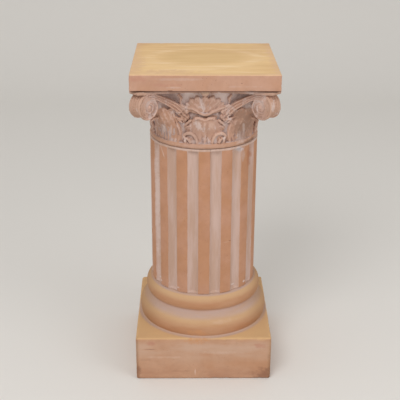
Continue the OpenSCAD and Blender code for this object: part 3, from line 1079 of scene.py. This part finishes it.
def clay_grain_group(name):
    """Colour patches, fine grain and pores of coarse fired clay."""
    group = bpy.data.node_groups.new(name, "ShaderNodeTree")
    add_socket(group, "Color", "NodeSocketColor", "INPUT", (0.5, 0.3, 0.2, 1))
    add_socket(group, "Patch", "NodeSocketColor", "INPUT", (0.5, 0.3, 0.2, 1))
    add_socket(group, "Patches", "NodeSocketFloat", "INPUT", 0.5)
    add_socket(group, "Color", "NodeSocketColor", "OUTPUT")
    add_socket(group, "Height", "NodeSocketFloat", "OUTPUT")
    g = Graph(group)
    given = g.node("NodeGroupInput").outputs
    where = g.node("ShaderNodeTexCoord").outputs["Object"]
    patches = g.noise(where, 9, 5, 0.6, distortion=0.6)
    colour = g.mix(g.times(g.band(patches, 0.40, 0.66), given["Patches"]),
                   given["Color"], given["Patch"])
    grain = g.noise(where, 260, 4, 0.7)
    colour = g.mix(g.band(grain, 0.30, 0.75, 0.0, 0.28), colour, (1.0, 0.93, 0.86), "MULTIPLY")
    mottling = g.noise(where, 45, 4, 0.6)
    colour = g.mix(g.band(mottling, 0.35, 0.70, 0.0, 0.35), colour, (0.80, 0.76, 0.74), "MULTIPLY")
    pores = g.node("ShaderNodeTexVoronoi", feature="F1")
    g.feed(pores.inputs["Vector"], where)
    pores.inputs["Scale"].default_value = 210
    pore = g.band(pores.outputs["Distance"], 0.06, 0.20)
    few = g.band(g.noise(where, 34, 2, 0.5), 0.52, 0.60)
    pore = g.math("MAXIMUM", pore, g.minus(1.0, few))
    pitted = g.times(g.minus(1.0, pore), 0.55)
    colour = g.mix(pitted, colour, (0.35, 0.24, 0.18), "MULTIPLY")
    height = g.plus(g.times(grain, 0.35), g.times(pore, 0.5))
    height = g.plus(height, g.times(mottling, 0.5))
    out = g.node("NodeGroupOutput")
    g.feed(out.inputs["Color"], colour)
    g.feed(out.inputs["Height"], height)
    return group


def coating_group(name):
    """A thin, broken coat of another colour, where its mask is above a ragged limit."""
    group = bpy.data.node_groups.new(name, "ShaderNodeTree")
    add_socket(group, "Color", "NodeSocketColor", "INPUT", (0.5, 0.3, 0.2, 1))
    add_socket(group, "Coat", "NodeSocketColor", "INPUT", (0.8, 0.8, 0.8, 1))
    add_socket(group, "Mask", "NodeSocketFloat", "INPUT", 0.0)
    add_socket(group, "Cover", "NodeSocketFloat", "INPUT", 0.8)
    add_socket(group, "Size", "NodeSocketFloat", "INPUT", 60.0)
    add_socket(group, "Ragged", "NodeSocketFloat", "INPUT", 0.5)
    add_socket(group, "Color", "NodeSocketColor", "OUTPUT")
    g = Graph(group)
    given = g.node("NodeGroupInput").outputs
    where = g.node("ShaderNodeTexCoord").outputs["Object"]
    broken = g.node("ShaderNodeTexNoise")
    g.feed(broken.inputs["Vector"], where)
    g.feed(broken.inputs["Scale"], given["Size"])
    broken.inputs["Detail"].default_value = 5
    broken.inputs["Roughness"].default_value = 0.65
    ragged = g.times(g.minus(broken.outputs["Fac"], 0.5), given["Ragged"])
    amount = g.band(g.plus(given["Mask"], ragged), 0.35, 0.65)
    amount = g.times(amount, given["Cover"])
    out = g.node("NodeGroupOutput")
    g.feed(out.inputs["Color"], g.mix(amount, given["Color"], given["Coat"]))
    return group


GROUP_MAKERS = {"Clay grain": clay_grain_group, "Broken coat": coating_group}


def shared_group(g, name, **values):
    """Adds one of the groups, which is made for the first material that asks for it."""
    group = bpy.data.node_groups.get(name) or GROUP_MAKERS[name](name)
    made = g.node("ShaderNodeGroup", node_tree=group)
    for name, value in values.items():
        g.feed(made.inputs[name], value)
    return made.outputs


def new_clay(name):
    """An empty clay material: its graph and its shader."""
    material = bpy.data.materials.new(name)
    material.use_nodes = True
    g = Graph(material.node_tree)
    shader = material.node_tree.nodes["Principled BSDF"]
    shader.inputs["Specular IOR Level"].default_value = 0.22
    return material, g, shader


# How deep the pores and grain of the clay are
GRAIN_DEPTH = 0.35 * MM


def set_surface(g, shader, colour, roughness, height):
    """Gives the shader its colour, its roughness and the fine relief of the clay."""
    relief = g.node("ShaderNodeBump")
    relief.inputs["Distance"].default_value = GRAIN_DEPTH
    relief.inputs["Strength"].default_value = 1.0
    g.feed(relief.inputs["Height"], height)
    g.feed(shader.inputs["Normal"], relief.outputs["Normal"])
    g.feed(shader.inputs["Base Color"], colour)
    g.feed(shader.inputs["Roughness"], roughness)


def place_nodes(g):
    """Object coordinates, whole and taken apart."""
    where = g.node("ShaderNodeTexCoord").outputs["Object"]
    apart = g.node("ShaderNodeSeparateXYZ")
    g.feed(apart.inputs["Vector"], where)
    return where, apart.outputs["X"], apart.outputs["Y"], apart.outputs["Z"]


# Colours of marks and stains
BURNT = (0.23, 0.11, 0.07)
ORANGE = (0.58, 0.28, 0.13)
RED = (0.50, 0.235, 0.165)
PALE = (0.72, 0.53, 0.43)
LIME = (0.72, 0.60, 0.56)
BLUISH_LIME = (0.60, 0.53, 0.53)
BROWN = (0.36, 0.215, 0.155)
DUSTY_PINK = (0.70, 0.46, 0.28)
DARK_RED = (0.42, 0.17, 0.085)
DULL_RED = (0.44, 0.24, 0.165)
DIRT = (0.25, 0.135, 0.085)
SAND = (0.74, 0.52, 0.36)

# Marks on the front in millimetres: middle (x, z), half sizes, lean, strength, colour
PLINTH_MARKS = (
    ((-14, 101), (36, 12), 0.0, 0.80, ORANGE),
    ((-119, 95), (15, 8), 0.0, 0.60, RED),
    ((130, 88), (18, 10), 0.0, 0.55, RED),
    ((-153, 15), (13, 34), 0.0, 0.65, BURNT),
    ((146, 10), (44, 26), 0.0, 0.60, BURNT),
    ((153, 40), (7, 60), 0.0, 0.35, BURNT),
    ((-153, 60), (5, 60), 0.0, 0.30, BURNT),
    ((-123, 79), (20, 1.6), 4.0, 0.55, BURNT),
    ((-133, 51), (22, 1.8), 0.0, 0.35, BURNT),
    ((-60, 21), (48, 2.2), 0.0, 0.25, BURNT),
    ((-19, 19), (2.2, 11), 0.0, 0.80, PALE),
    ((-88, 58), (60, 4.0), 0.0, 0.25, PALE),
    ((40, 70), (70, 6.0), 0.0, 0.25, PALE),
)
MOULDING_MARKS = (
    ((-12, 118), (34, 10), 0.0, 0.60, ORANGE),
    ((40, 142), (45, 6), 0.0, 0.20, PALE),
)
SHAFT_MARKS = (
    ((58, 331), (4, 1.6), 0.0, 0.80, BURNT),
    ((50, 329), (9, 1.2), 0.0, 0.40, PALE),
    ((-91, 532), (2.0, 17), -0.35, 0.60, PALE),
    ((76, 541), (14, 10), 0.0, 0.95, BLUISH_LIME),
    ((84, 528), (6, 18), 0.0, 0.30, BLUISH_LIME),
    ((98, 515), (8, 34), 0.0, 0.70, DARK_RED),
    ((-104, 400), (8, 190), 0.0, 0.50, LIME),
    ((66, 214), (5, 3.0), 0.0, 0.85, LIME),
    ((93, 214), (4, 4.0), 0.0, 0.85, LIME),
    ((-99, 214), (5, 3.0), 0.0, 0.70, LIME),
    ((-60, 213), (7, 3), 0.0, 0.50, LIME),
)
SLAB_MARKS = (
    ((74, 703), (2.8, 1.5), 0.0, 0.85, BURNT),
    ((-71, 687), (6, 2.6), 0.0, 0.85, BURNT),
    ((-80, 699), (40, 5), 0.0, 0.40, RED),
    ((-105, 703), (62, 18), 0.0, 0.30, DULL_RED),
    ((-136, 712), (28, 8), 0.0, 0.40, RED),
    ((-60, 711), (75, 4.0), 0.0, 0.16, LIME),
    ((-65, 694), (18, 3.0), 0.0, 0.25, LIME),
    ((80, 696), (50, 3.0), 0.0, 0.15, LIME),
)
CARVED_MARKS = (
    ((77, 558), (13, 6), 0.0, 0.45, LIME),
    ((100, 553), (20, 8), 0.0, 1.00, DIRT),
    ((-38, 674), (14, 6), 0.4, 0.45, LIME),
    ((36, 668), (6, 12), -0.8, 0.45, LIME),
    ((60, 640), (5, 14), -0.8, 0.40, LIME),
    ((0, 680), (16, 5), 0.0, 0.50, SAND),
    # The broad brown mark over the right corner leaf is painted shade.
    ((90, 603), (42, 52), 0.0, 0.95, BROWN),
    ((-98, 600), (14, 36), 0.0, 0.30, BROWN),
    ((-86, 590), (5, 22), 0.1, 0.55, LIME),
    ((-72, 585), (4, 18), 0.1, 0.45, LIME),
    ((84, 588), (4, 20), -0.1, 0.45, LIME),
    ((-24, 566), (8, 6), 0.0, 0.40, LIME),
    ((44, 606), (7, 8), 0.3, 0.50, LIME),
)
# Marks on the slab's top, with their middles as (x, y)
SLAB_TOP_MARKS = (
    ((-142, -60), (22, 120), 0.0, 0.60, DUSTY_PINK),
    ((-80, -126), (90, 26), 0.0, 0.65, DUSTY_PINK),
    ((130, 105), (40, 40), 0.0, 0.35, DUSTY_PINK),
    ((60, 60), (90, 9), 0.05, 0.25, DUSTY_PINK),
    ((-60, 110), (70, 8), -0.05, 0.25, DUSTY_PINK),
    ((146, -60), (12, 80), 0.0, 0.35, DUSTY_PINK),
)


def base_clay(colours):
    """Clay of the plinth and mouldings: dusty above, whitewashed in a band and in hollows."""
    thin_wash = (0.59, 0.405, 0.31)
    damp_red = (0.39, 0.18, 0.115)
    warm_red = (0.485, 0.235, 0.12)
    warm_tan = (0.53, 0.285, 0.165)
    grey_lime = (0.50, 0.36, 0.32)
    edge_brown = (0.41, 0.235, 0.12)
    material, g, shader = new_clay("Base clay")
    where, x, y, z = place_nodes(g)
    body = shared_group(g, "Clay grain", Color=colours.pink_clay, Patch=colours.clay, Patches=0.8)
    streaks = g.noise(where, 9, 5, 0.6, stretch=(1, 1, 4.5))
    level = g.times(g.band(z, 25 * MM, 85 * MM), g.band(z, 112 * MM, 84 * MM))
    level = g.times(level, g.band(streaks, 0.30, 0.62, 0.25, 1.0))
    washed = g.mix(g.times(level, 0.75), body["Color"], thin_wash)
    low = g.times(g.band(z, 45 * MM, 4 * MM), g.band(streaks, 0.40, 0.62))
    lower = g.mix(g.times(low, 0.45), washed, damp_red)
    on_mouldings = g.band(z, 106 * MM, 112 * MM)
    warm = g.mix(g.band(streaks, 0.35, 0.65), warm_red, warm_tan)
    side = g.mix(g.times(on_mouldings, 0.9), lower, warm)
    dust = g.times(g.band(g.attribute("upward"), -0.15, 0.85), g.band(streaks, 0.25, 0.60, 0.75, 1.0))
    golden = g.mix(on_mouldings, colours.plinth_dust, colours.moulding_dust)
    dusty = g.mix(dust, side, golden)
    limed = g.times(g.band(g.attribute("washed"), 0.0, 0.9), g.band(streaks, 0.30, 0.60, 0.50, 0.85))
    colour = g.mix(limed, dusty, grey_lime)
    # The mouldings' two sides and the plinth's upright edges are browner than the rest
    across = g.math("ABSOLUTE", x)
    sides = g.times(on_mouldings, g.band(across, 88 * MM, 140 * MM, 0.0, 0.55))
    near_edge = g.band(g.math("MINIMUM", across, g.math("ABSOLUTE", y)), 145 * MM, 154 * MM, 0.0, 0.45)
    near_edge = g.times(near_edge, g.band(z, 106 * MM, 100 * MM))
    colour = g.mix(g.math("MAXIMUM", sides, near_edge), colour, edge_brown)
    colour = g.mix(g.band(z, 2.5 * MM, 0.5 * MM, 0.0, 0.6), colour, colours.dark)
    front = g.band(y, BASE_LOW.y + 6 * MM, BASE_LOW.y + 2 * MM)
    colour = g.marks(colour, where, x, z, front, PLINTH_MARKS)
    near = g.band(y, -40 * MM, -60 * MM)
    colour = g.marks(colour, where, x, z, near, MOULDING_MARKS)
    set_surface(g, shader, colour, 0.86, body["Height"])
    return material


def slab_clay(colours):
    """Clay of the top slab: golden above, with the stain that a round pot left."""
    dull_dust = (0.75, 0.50, 0.25)
    bright_dust = (0.90, 0.66, 0.40)
    pot_stain = (0.69, 0.465, 0.22)
    pot_ring = (0.92, 0.70, 0.45)
    corner_red = (0.60, 0.345, 0.185)
    rim_pink = (0.72, 0.47, 0.30)
    painted_seam_shade = (0.12, 0.05, 0.035)
    material, g, shader = new_clay("Slab clay")
    where, x, y, z = place_nodes(g)
    body = shared_group(g, "Clay grain", Color=colours.slab_clay, Patch=(0.52, 0.28, 0.175), Patches=0.8)
    streaks = g.noise(where, 8, 5, 0.6, stretch=(0.6, 1.8, 2.0))
    brushed = g.noise(where, 16, 4, 0.6, stretch=(0.5, 3.0, 3.0))
    golden = g.mix(g.band(streaks, 0.38, 0.62), colours.slab_dust, dull_dust)
    golden = g.mix(g.band(brushed, 0.50, 0.66, 0.0, 0.5), golden, bright_dust)
    across = g.math("DIVIDE", x, 90 * MM)
    along = g.math("DIVIDE", g.minus(y, 8 * MM), 68 * MM)
    from_middle = g.math("SQRT", g.plus(g.times(across, across), g.times(along, along)))
    from_middle = g.plus(from_middle, g.times(g.minus(streaks, 0.5), 0.5))
    golden = g.mix(g.band(from_middle, 1.25, 0.75, 0.0, 0.6), golden, pot_stain)
    corner = g.times(g.band(g.math("ABSOLUTE", x), 110 * MM, 155 * MM), g.band(y, 95 * MM, 155 * MM))
    golden = g.mix(g.times(corner, 0.65), golden, corner_red)
    ring = g.times(g.band(from_middle, 1.10, 1.25), g.band(from_middle, 1.55, 1.35))
    ring = g.times(ring, g.band(brushed, 0.42, 0.58, 0.05, 0.35))
    golden = g.mix(ring, golden, pot_ring)
    rim = g.math("MAXIMUM", g.math("ABSOLUTE", x), g.math("ABSOLUTE", y))
    rim = g.plus(rim, g.times(g.minus(brushed, 0.5), 50 * MM))
    golden = g.mix(g.band(rim, 134 * MM, 156 * MM, 0.0, 0.6), golden, rim_pink)
    golden = g.marks(golden, where, x, y, 1.0, SLAB_TOP_MARKS)
    dusty = shared_group(g, "Broken coat", Color=body["Color"], Coat=golden,
                         Mask=g.band(g.attribute("upward"), 0.15, 0.9), Cover=0.97, Size=30.0, Ragged=0.25)
    front = g.band(y, SLAB_LOW.y + 5 * MM, SLAB_LOW.y + 2 * MM)
    colour = g.marks(dusty["Color"], where, x, z, front, SLAB_MARKS)
    # Painted shadow: a thin dark band along the slab's lower edge.
    seam = g.band(z, SLAB_LOW.z + 2.4 * MM, SLAB_LOW.z + 1.2 * MM, 0.0, 0.9)
    colour = g.mix(seam, colour, painted_seam_shade)
    set_surface(g, shader, colour, 0.86, body["Height"])
    return material


def shaft_clay(colours):
    """Bare clay on the strips and thin whitewash in the flutes."""
    material, g, shader = new_clay("Shaft clay")
    where, x, y, z = place_nodes(g)
    body = shared_group(g, "Clay grain", Color=colours.clay, Patch=(0.55, 0.30, 0.20), Patches=0.9)
    streaks = g.noise(where, 60, 4, 0.6, stretch=(1, 1, 0.12))
    lime = g.mix(g.band(streaks, 0.36, 0.64), (0.545, 0.375, 0.295), colours.flute_wash)
    thin = g.band(g.noise(where, 22, 4, 0.6, stretch=(1, 1, 0.30)), 0.36, 0.56, 0.76, 1.0)
    washed = shared_group(g, "Broken coat", Color=body["Color"], Coat=lime,
                          Mask=g.times(g.attribute("washed"), thin), Cover=0.93, Size=60.0,
                          Ragged=0.45)
    colour = g.marks(washed["Color"], where, x, z, g.band(y, -30 * MM, -50 * MM), SHAFT_MARKS)
    set_surface(g, shader, colour, 0.88, body["Height"])
    return material


def capital_zones(g, colour, x, y, z, patchy):
    """Darkens the thin plate with painted shade, makes the scrolls paler with painted light, and tints
    their outer rims and the neck ring.
    """
    plate_shade_brown = (0.45, 0.285, 0.225)
    scroll_painted_light = (0.70, 0.49, 0.41)
    tip_brown = (0.46, 0.27, 0.18)
    ring_red = (0.50, 0.275, 0.175)
    # Painted shade darkens the thin plate under the slab.
    plate_painted_shade = g.band(z, CAPITAL_HIGH.z - 9.5 * MM, CAPITAL_HIGH.z - 7.5 * MM, 0.0, 0.6)
    colour = g.mix(plate_painted_shade, colour, plate_shade_brown)
    # Painted light makes the scrolls paler.
    away = g.plus(g.math("ABSOLUTE", x), g.math("ABSOLUTE", y))
    scrolls = g.band(away, 208 * MM, 226 * MM, 0.0, 0.38)
    colour = g.mix(scrolls, colour, scroll_painted_light)
    rim = g.band(away, 262 * MM, 278 * MM, 0.0, 0.55)
    colour = g.mix(rim, colour, tip_brown)
    ring = g.band(z, CAPITAL_LOW.z + 14 * MM, CAPITAL_LOW.z + 11 * MM, 0.0, 0.8)
    ring = g.times(ring, g.band(patchy, 0.38, 0.60, 0.45, 1.0))
    colour = g.mix(ring, colour, ring_red)
    return colour


def carved_clay(colours):
    """Clay of the capital: pale wash in the recesses, ridges lightened by wear and by painted highlight,
    and painted shade in the deep crevices.
    """
    worn_and_highlit_clay = (0.66, 0.455, 0.365)
    pale_wash_and_light = (0.78, 0.63, 0.58)
    painted_crevice_shade = (0.23, 0.115, 0.085)
    chalk = (0.72, 0.60, 0.57)
    painted_seam_shade = (0.14, 0.07, 0.05)
    material, g, shader = new_clay("Carved clay")
    where, x, y, z = place_nodes(g)
    body = shared_group(g, "Clay grain", Color=colours.carved_clay, Patch=(0.53, 0.295, 0.195), Patches=0.8)
    patchy = g.noise(where, 38, 4, 0.65)
    recess = g.band(g.attribute("hollow"), 0.50, 0.85)
    washed = shared_group(g, "Broken coat", Color=body["Color"], Coat=colours.recess_wash,
                          Mask=g.times(recess, 0.75), Cover=0.75, Size=75.0, Ragged=1.5)
    # Ridges are lightened, partly as worn clay and partly as painted highlight, less on the thin plate.
    worn_and_highlit = g.band(g.attribute("crevice"), 0.42, 0.14, 0.0, 0.65)
    worn_and_highlit = g.times(worn_and_highlit, g.band(patchy, 0.34, 0.58, 0.35, 1.0))
    plate = g.band(z, CAPITAL_HIGH.z - 12 * MM, CAPITAL_HIGH.z - 9 * MM, 1.0, 0.35)
    colour = g.mix(g.times(worn_and_highlit, plate), washed["Color"], worn_and_highlit_clay)
    colour = capital_zones(g, colour, x, y, z, patchy)
    # The shaded hollows under the plate hold more of the wash, and get painted light that offsets their
    # shade
    high = g.band(z, CAPITAL_HIGH.z - 50 * MM, CAPITAL_HIGH.z - 28 * MM, 0.0, 0.7)
    sheltered_wash_and_light = g.times(high, g.band(g.attribute("hollow"), 0.42, 0.70))
    sheltered_wash_and_light = g.times(sheltered_wash_and_light, g.band(patchy, 0.36, 0.56, 0.55, 1.0))
    colour = g.mix(sheltered_wash_and_light, colour, pale_wash_and_light)
    # Painted shade darkens the deep crevices, less in the high hollows under the plate.
    deep = g.times(g.band(g.attribute("crevice"), 0.62, 0.97, 0.0, 0.8),
                   g.band(patchy, 0.40, 0.62, 1.0, 0.35))
    deep = g.times(deep, g.minus(1.0, high))
    colour = g.mix(deep, colour, painted_crevice_shade)
    mottled = g.band(g.noise(where, 30, 3, 0.55, stretch=(1, 1, 0.6)), 0.48, 0.36, 0.0, 0.30)
    below = g.band(z, CAPITAL_HIGH.z - 30 * MM, CAPITAL_HIGH.z - 50 * MM)
    colour = g.mix(g.times(mottled, below), colour, BROWN)
    chalky = g.band(g.noise(where, 75, 4, 0.6, stretch=(1, 1, 0.45)), 0.56, 0.66, 0.0, 0.55)
    above = g.band(z, CAPITAL_LOW.z + 12 * MM, CAPITAL_LOW.z + 16 * MM, 0.15, 1.0)
    colour = g.mix(g.times(chalky, above), colour, chalk)
    colour = g.marks(colour, where, x, z, g.band(y, -30 * MM, -50 * MM), CARVED_MARKS)
    # Painted shade: a dark line along the foot under the neck ring, and along the top under the slab.
    foot = g.band(z, CAPITAL_LOW.z + 2.8 * MM, CAPITAL_LOW.z + 0.9 * MM, 0.0, 0.75)
    seam = g.band(z, CAPITAL_HIGH.z - 2.4 * MM, CAPITAL_HIGH.z - 1.0 * MM, 0.0, 0.85)
    colour = g.mix(g.math("MAXIMUM", foot, seam), colour, painted_seam_shade)
    set_surface(g, shader, colour, 0.85, body["Height"])
    return material


# ---------------------------------------------------------------- operators

# The camera: its place as shares of the column's height, and its angles in degrees
CAMERA_PLACE = (-0.043, -2.593, 1.590)
CAMERA_TURN = -0.71
CAMERA_DOWN = 22.13
CAMERA_ROLL = 0.26
LENS_LENGTH = 78.06
# The floor in metres: its near end, where it starts to curve up, and the backdrop's top
FLOOR_NEAR = -4.0
FLOOR_FAR = 2.2
FLOOR_CURVE = 0.8
FLOOR_HALF_WIDTH = 5
BACKDROP_TOP = 4.5


class COLUMN_OT_stage(bpy.types.Operator):
    """Sets the camera, the floor, the backdrop and the lights"""

    bl_idname = "column.stage"
    bl_label = "Stage"

    def execute(self, context):
        scene = context.scene
        scene.view_settings.view_transform = "Standard"
        deselect_all()
        lens_data = bpy.data.cameras.new("Camera")
        lens_data.lens = LENS_LENGTH
        lens_data.sensor_width = 36
        lens_data.clip_end = 50
        camera = bpy.data.objects.new("Camera", lens_data)
        scene.collection.objects.link(camera)
        place = [share * SLAB_HIGH.z for share in CAMERA_PLACE]
        camera.matrix_world = (
            Matrix.Translation(place)
            @ Matrix.Rotation(math.radians(CAMERA_TURN), 4, "Z")
            @ Matrix.Rotation(math.radians(90 - CAMERA_DOWN), 4, "X")
            @ Matrix.Rotation(math.radians(CAMERA_ROLL), 4, "Z"))
        scene.camera = camera
        self.floor(scene)
        self.lamp(scene, "Key light", (-0.9, -2.1, 2.8), 1.5, 38)
        self.lamp(scene, "Fill light", (1.9, -1.6, 1.5), 1.6, 12)
        world = bpy.data.worlds.new("Studio")
        scene.world = world
        world.use_nodes = True
        background = world.node_tree.nodes["Background"]
        background.inputs["Color"].default_value = (1, 0.985, 0.96, 1)
        background.inputs["Strength"].default_value = 0.60
        return {"FINISHED"}

    def floor(self, scene):
        """A pale floor that curves up into a backdrop."""
        curve = [
            (FLOOR_FAR + FLOOR_CURVE * math.sin(a), FLOOR_CURVE - FLOOR_CURVE * math.cos(a))
            for a in np.radians(np.linspace(0, 90, 13))]
        profile = [(FLOOR_NEAR, 0.0), *curve, (FLOOR_FAR + FLOOR_CURVE, BACKDROP_TOP)]
        n = len(profile)
        mesh = bpy.data.meshes.new("Floor")
        mesh.from_pydata(
            [(x, y, z) for x in (-FLOOR_HALF_WIDTH, FLOOR_HALF_WIDTH) for y, z in profile], [],
            [(i, i + 1, n + i + 1, n + i) for i in range(n - 1)])
        if sum(face.normal.z for face in mesh.polygons) < 0:
            mesh.flip_normals()
        for face in mesh.polygons:
            face.use_smooth = True
        floor = bpy.data.objects.new("Floor", mesh)
        scene.collection.objects.link(floor)
        material = bpy.data.materials.new("Floor paint")
        material.use_nodes = True
        shader = material.node_tree.nodes["Principled BSDF"]
        shader.inputs["Base Color"].default_value = (0.80, 0.78, 0.75, 1)
        shader.inputs["Roughness"].default_value = 0.9
        mesh.materials.append(material)

    def lamp(self, scene, name, place, size, power):
        """A round soft light that points at the column."""
        data = bpy.data.lights.new(name, "AREA")
        data.shape = "DISK"
        data.size = size
        data.energy = power
        lamp = bpy.data.objects.new(name, data)
        scene.collection.objects.link(lamp)
        lamp.location = place
        target = Vector((0, 0, 0.42))
        lamp.rotation_euler = (target - Vector(place)).to_track_quat("-Z", "Y").to_euler()


class COLUMN_OT_base(bpy.types.Operator):
    """Builds the square plinth and the round base mouldings as one casting"""

    bl_idname = "column.base"
    bl_label = "Base"

    def execute(self, context):
        sizes = context.scene.column_sizes
        plinth_high = Vector((BASE_HIGH.x, BASE_HIGH.y, BASE_LOW.z + sizes.plinth_height))
        plinth = worn_block("Plinth", BASE_LOW, plinth_high, 2.0 * MM, sizes.edge_wear, BASE_VOXEL, 1.0)
        mouldings = spun("Mouldings", base_profile(sizes), 200)
        co = points_of(mouldings)
        uneven = clay_noise(co, 45 * MM, 2, 5.0) * 0.4 * MM
        inside = smoothstep(90 * MM, 125 * MM, np.linalg.norm(co[:, :2], axis=1))
        co -= normals_of(mouldings) * ((uneven + 0.3 * MM) * inside)[:, None]
        move_points(mouldings, co)
        base = join([plinth, mouldings], "Base")
        modify(base, "REMESH", mode="VOXEL", voxel_size=BASE_VOXEL)
        modify(base, "SMOOTH", factor=0.5, iterations=1)
        thin_out(base, BASE_TRIANGLES)
        co = points_of(base)
        co[:, 2] = np.clip(co[:, 2], BASE_LOW.z, BASE_HIGH.z)
        move_points(base, co)
        store(base, "washed", base_wash(co, sizes))
        store_surface_shape(base, 1.5 * MM, 24)
        material = base_clay(context.scene.clay_colours)
        finish_piece(base, material, "root", "base", "base")
        return {"FINISHED"}


class COLUMN_OT_shaft(bpy.types.Operator):
    """Builds the fluted shaft"""

    bl_idname = "column.shaft"
    bl_label = "Shaft"

    def execute(self, context):
        shaft = fluted_shaft(context.scene.column_sizes)
        close_tube(shaft)
        finish_piece(shaft, shaft_clay(context.scene.clay_colours), "root", "shaft", "shaft")
        return {"FINISHED"}


class COLUMN_OT_capital(bpy.types.Operator):
    """Builds the capital with its leaves, palmettes and corner scrolls as one casting"""

    bl_idname = "column.capital"
    bl_label = "Capital"

    def execute(self, context):
        capital = carved_capital(context.scene.column_sizes)
        store_surface_shape(capital, 4.0 * MM, 110, 0.8 * MM, 10)
        material = carved_clay(context.scene.clay_colours)
        finish_piece(capital, material, "root", "capital", "capital")
        return {"FINISHED"}


class COLUMN_OT_top_slab(bpy.types.Operator):
    """Builds the plain square slab on top"""

    bl_idname = "column.top_slab"
    bl_label = "Top slab"

    def execute(self, context):
        sizes = context.scene.column_sizes
        slab = worn_block("Top_Slab", SLAB_LOW, SLAB_HIGH, 1.5 * MM, sizes.edge_wear * 0.6, SLAB_VOXEL, 7.0)
        thin_out(slab, SLAB_TRIANGLES)
        store_surface_shape(slab, 1.2 * MM, 24)
        material = slab_clay(context.scene.clay_colours)
        finish_piece(slab, material, "root", "top_slab", "top_slab")
        return {"FINISHED"}


class COLUMN_PT_panel(bpy.types.Panel):
    """Lists the column's pieces in the 3D view's sidebar"""

    bl_label = "Terracotta column"
    bl_idname = "COLUMN_PT_panel"
    bl_space_type = "VIEW_3D"
    bl_region_type = "UI"
    bl_category = "Column"

    def draw(self, context):
        for operator in OPERATORS:
            self.layout.operator(operator.bl_idname)


OPERATORS = (COLUMN_OT_stage, COLUMN_OT_base, COLUMN_OT_shaft, COLUMN_OT_capital,
             COLUMN_OT_top_slab)
CLASSES = (ColumnSizes, ClayColours, *OPERATORS, COLUMN_PT_panel)


def register():
    for cls in CLASSES:
        bpy.utils.register_class(cls)
    bpy.types.Scene.column_sizes = PointerProperty(type=ColumnSizes)
    bpy.types.Scene.clay_colours = PointerProperty(type=ClayColours)


def unregister():
    del bpy.types.Scene.clay_colours
    del bpy.types.Scene.column_sizes
    for cls in reversed(CLASSES):
        bpy.utils.unregister_class(cls)


def main():
    register()
    bpy.ops.column.stage()
    bpy.ops.column.base()
    bpy.ops.column.shaft()
    bpy.ops.column.capital()
    bpy.ops.column.top_slab()


if __name__ == "__main__":
    main()
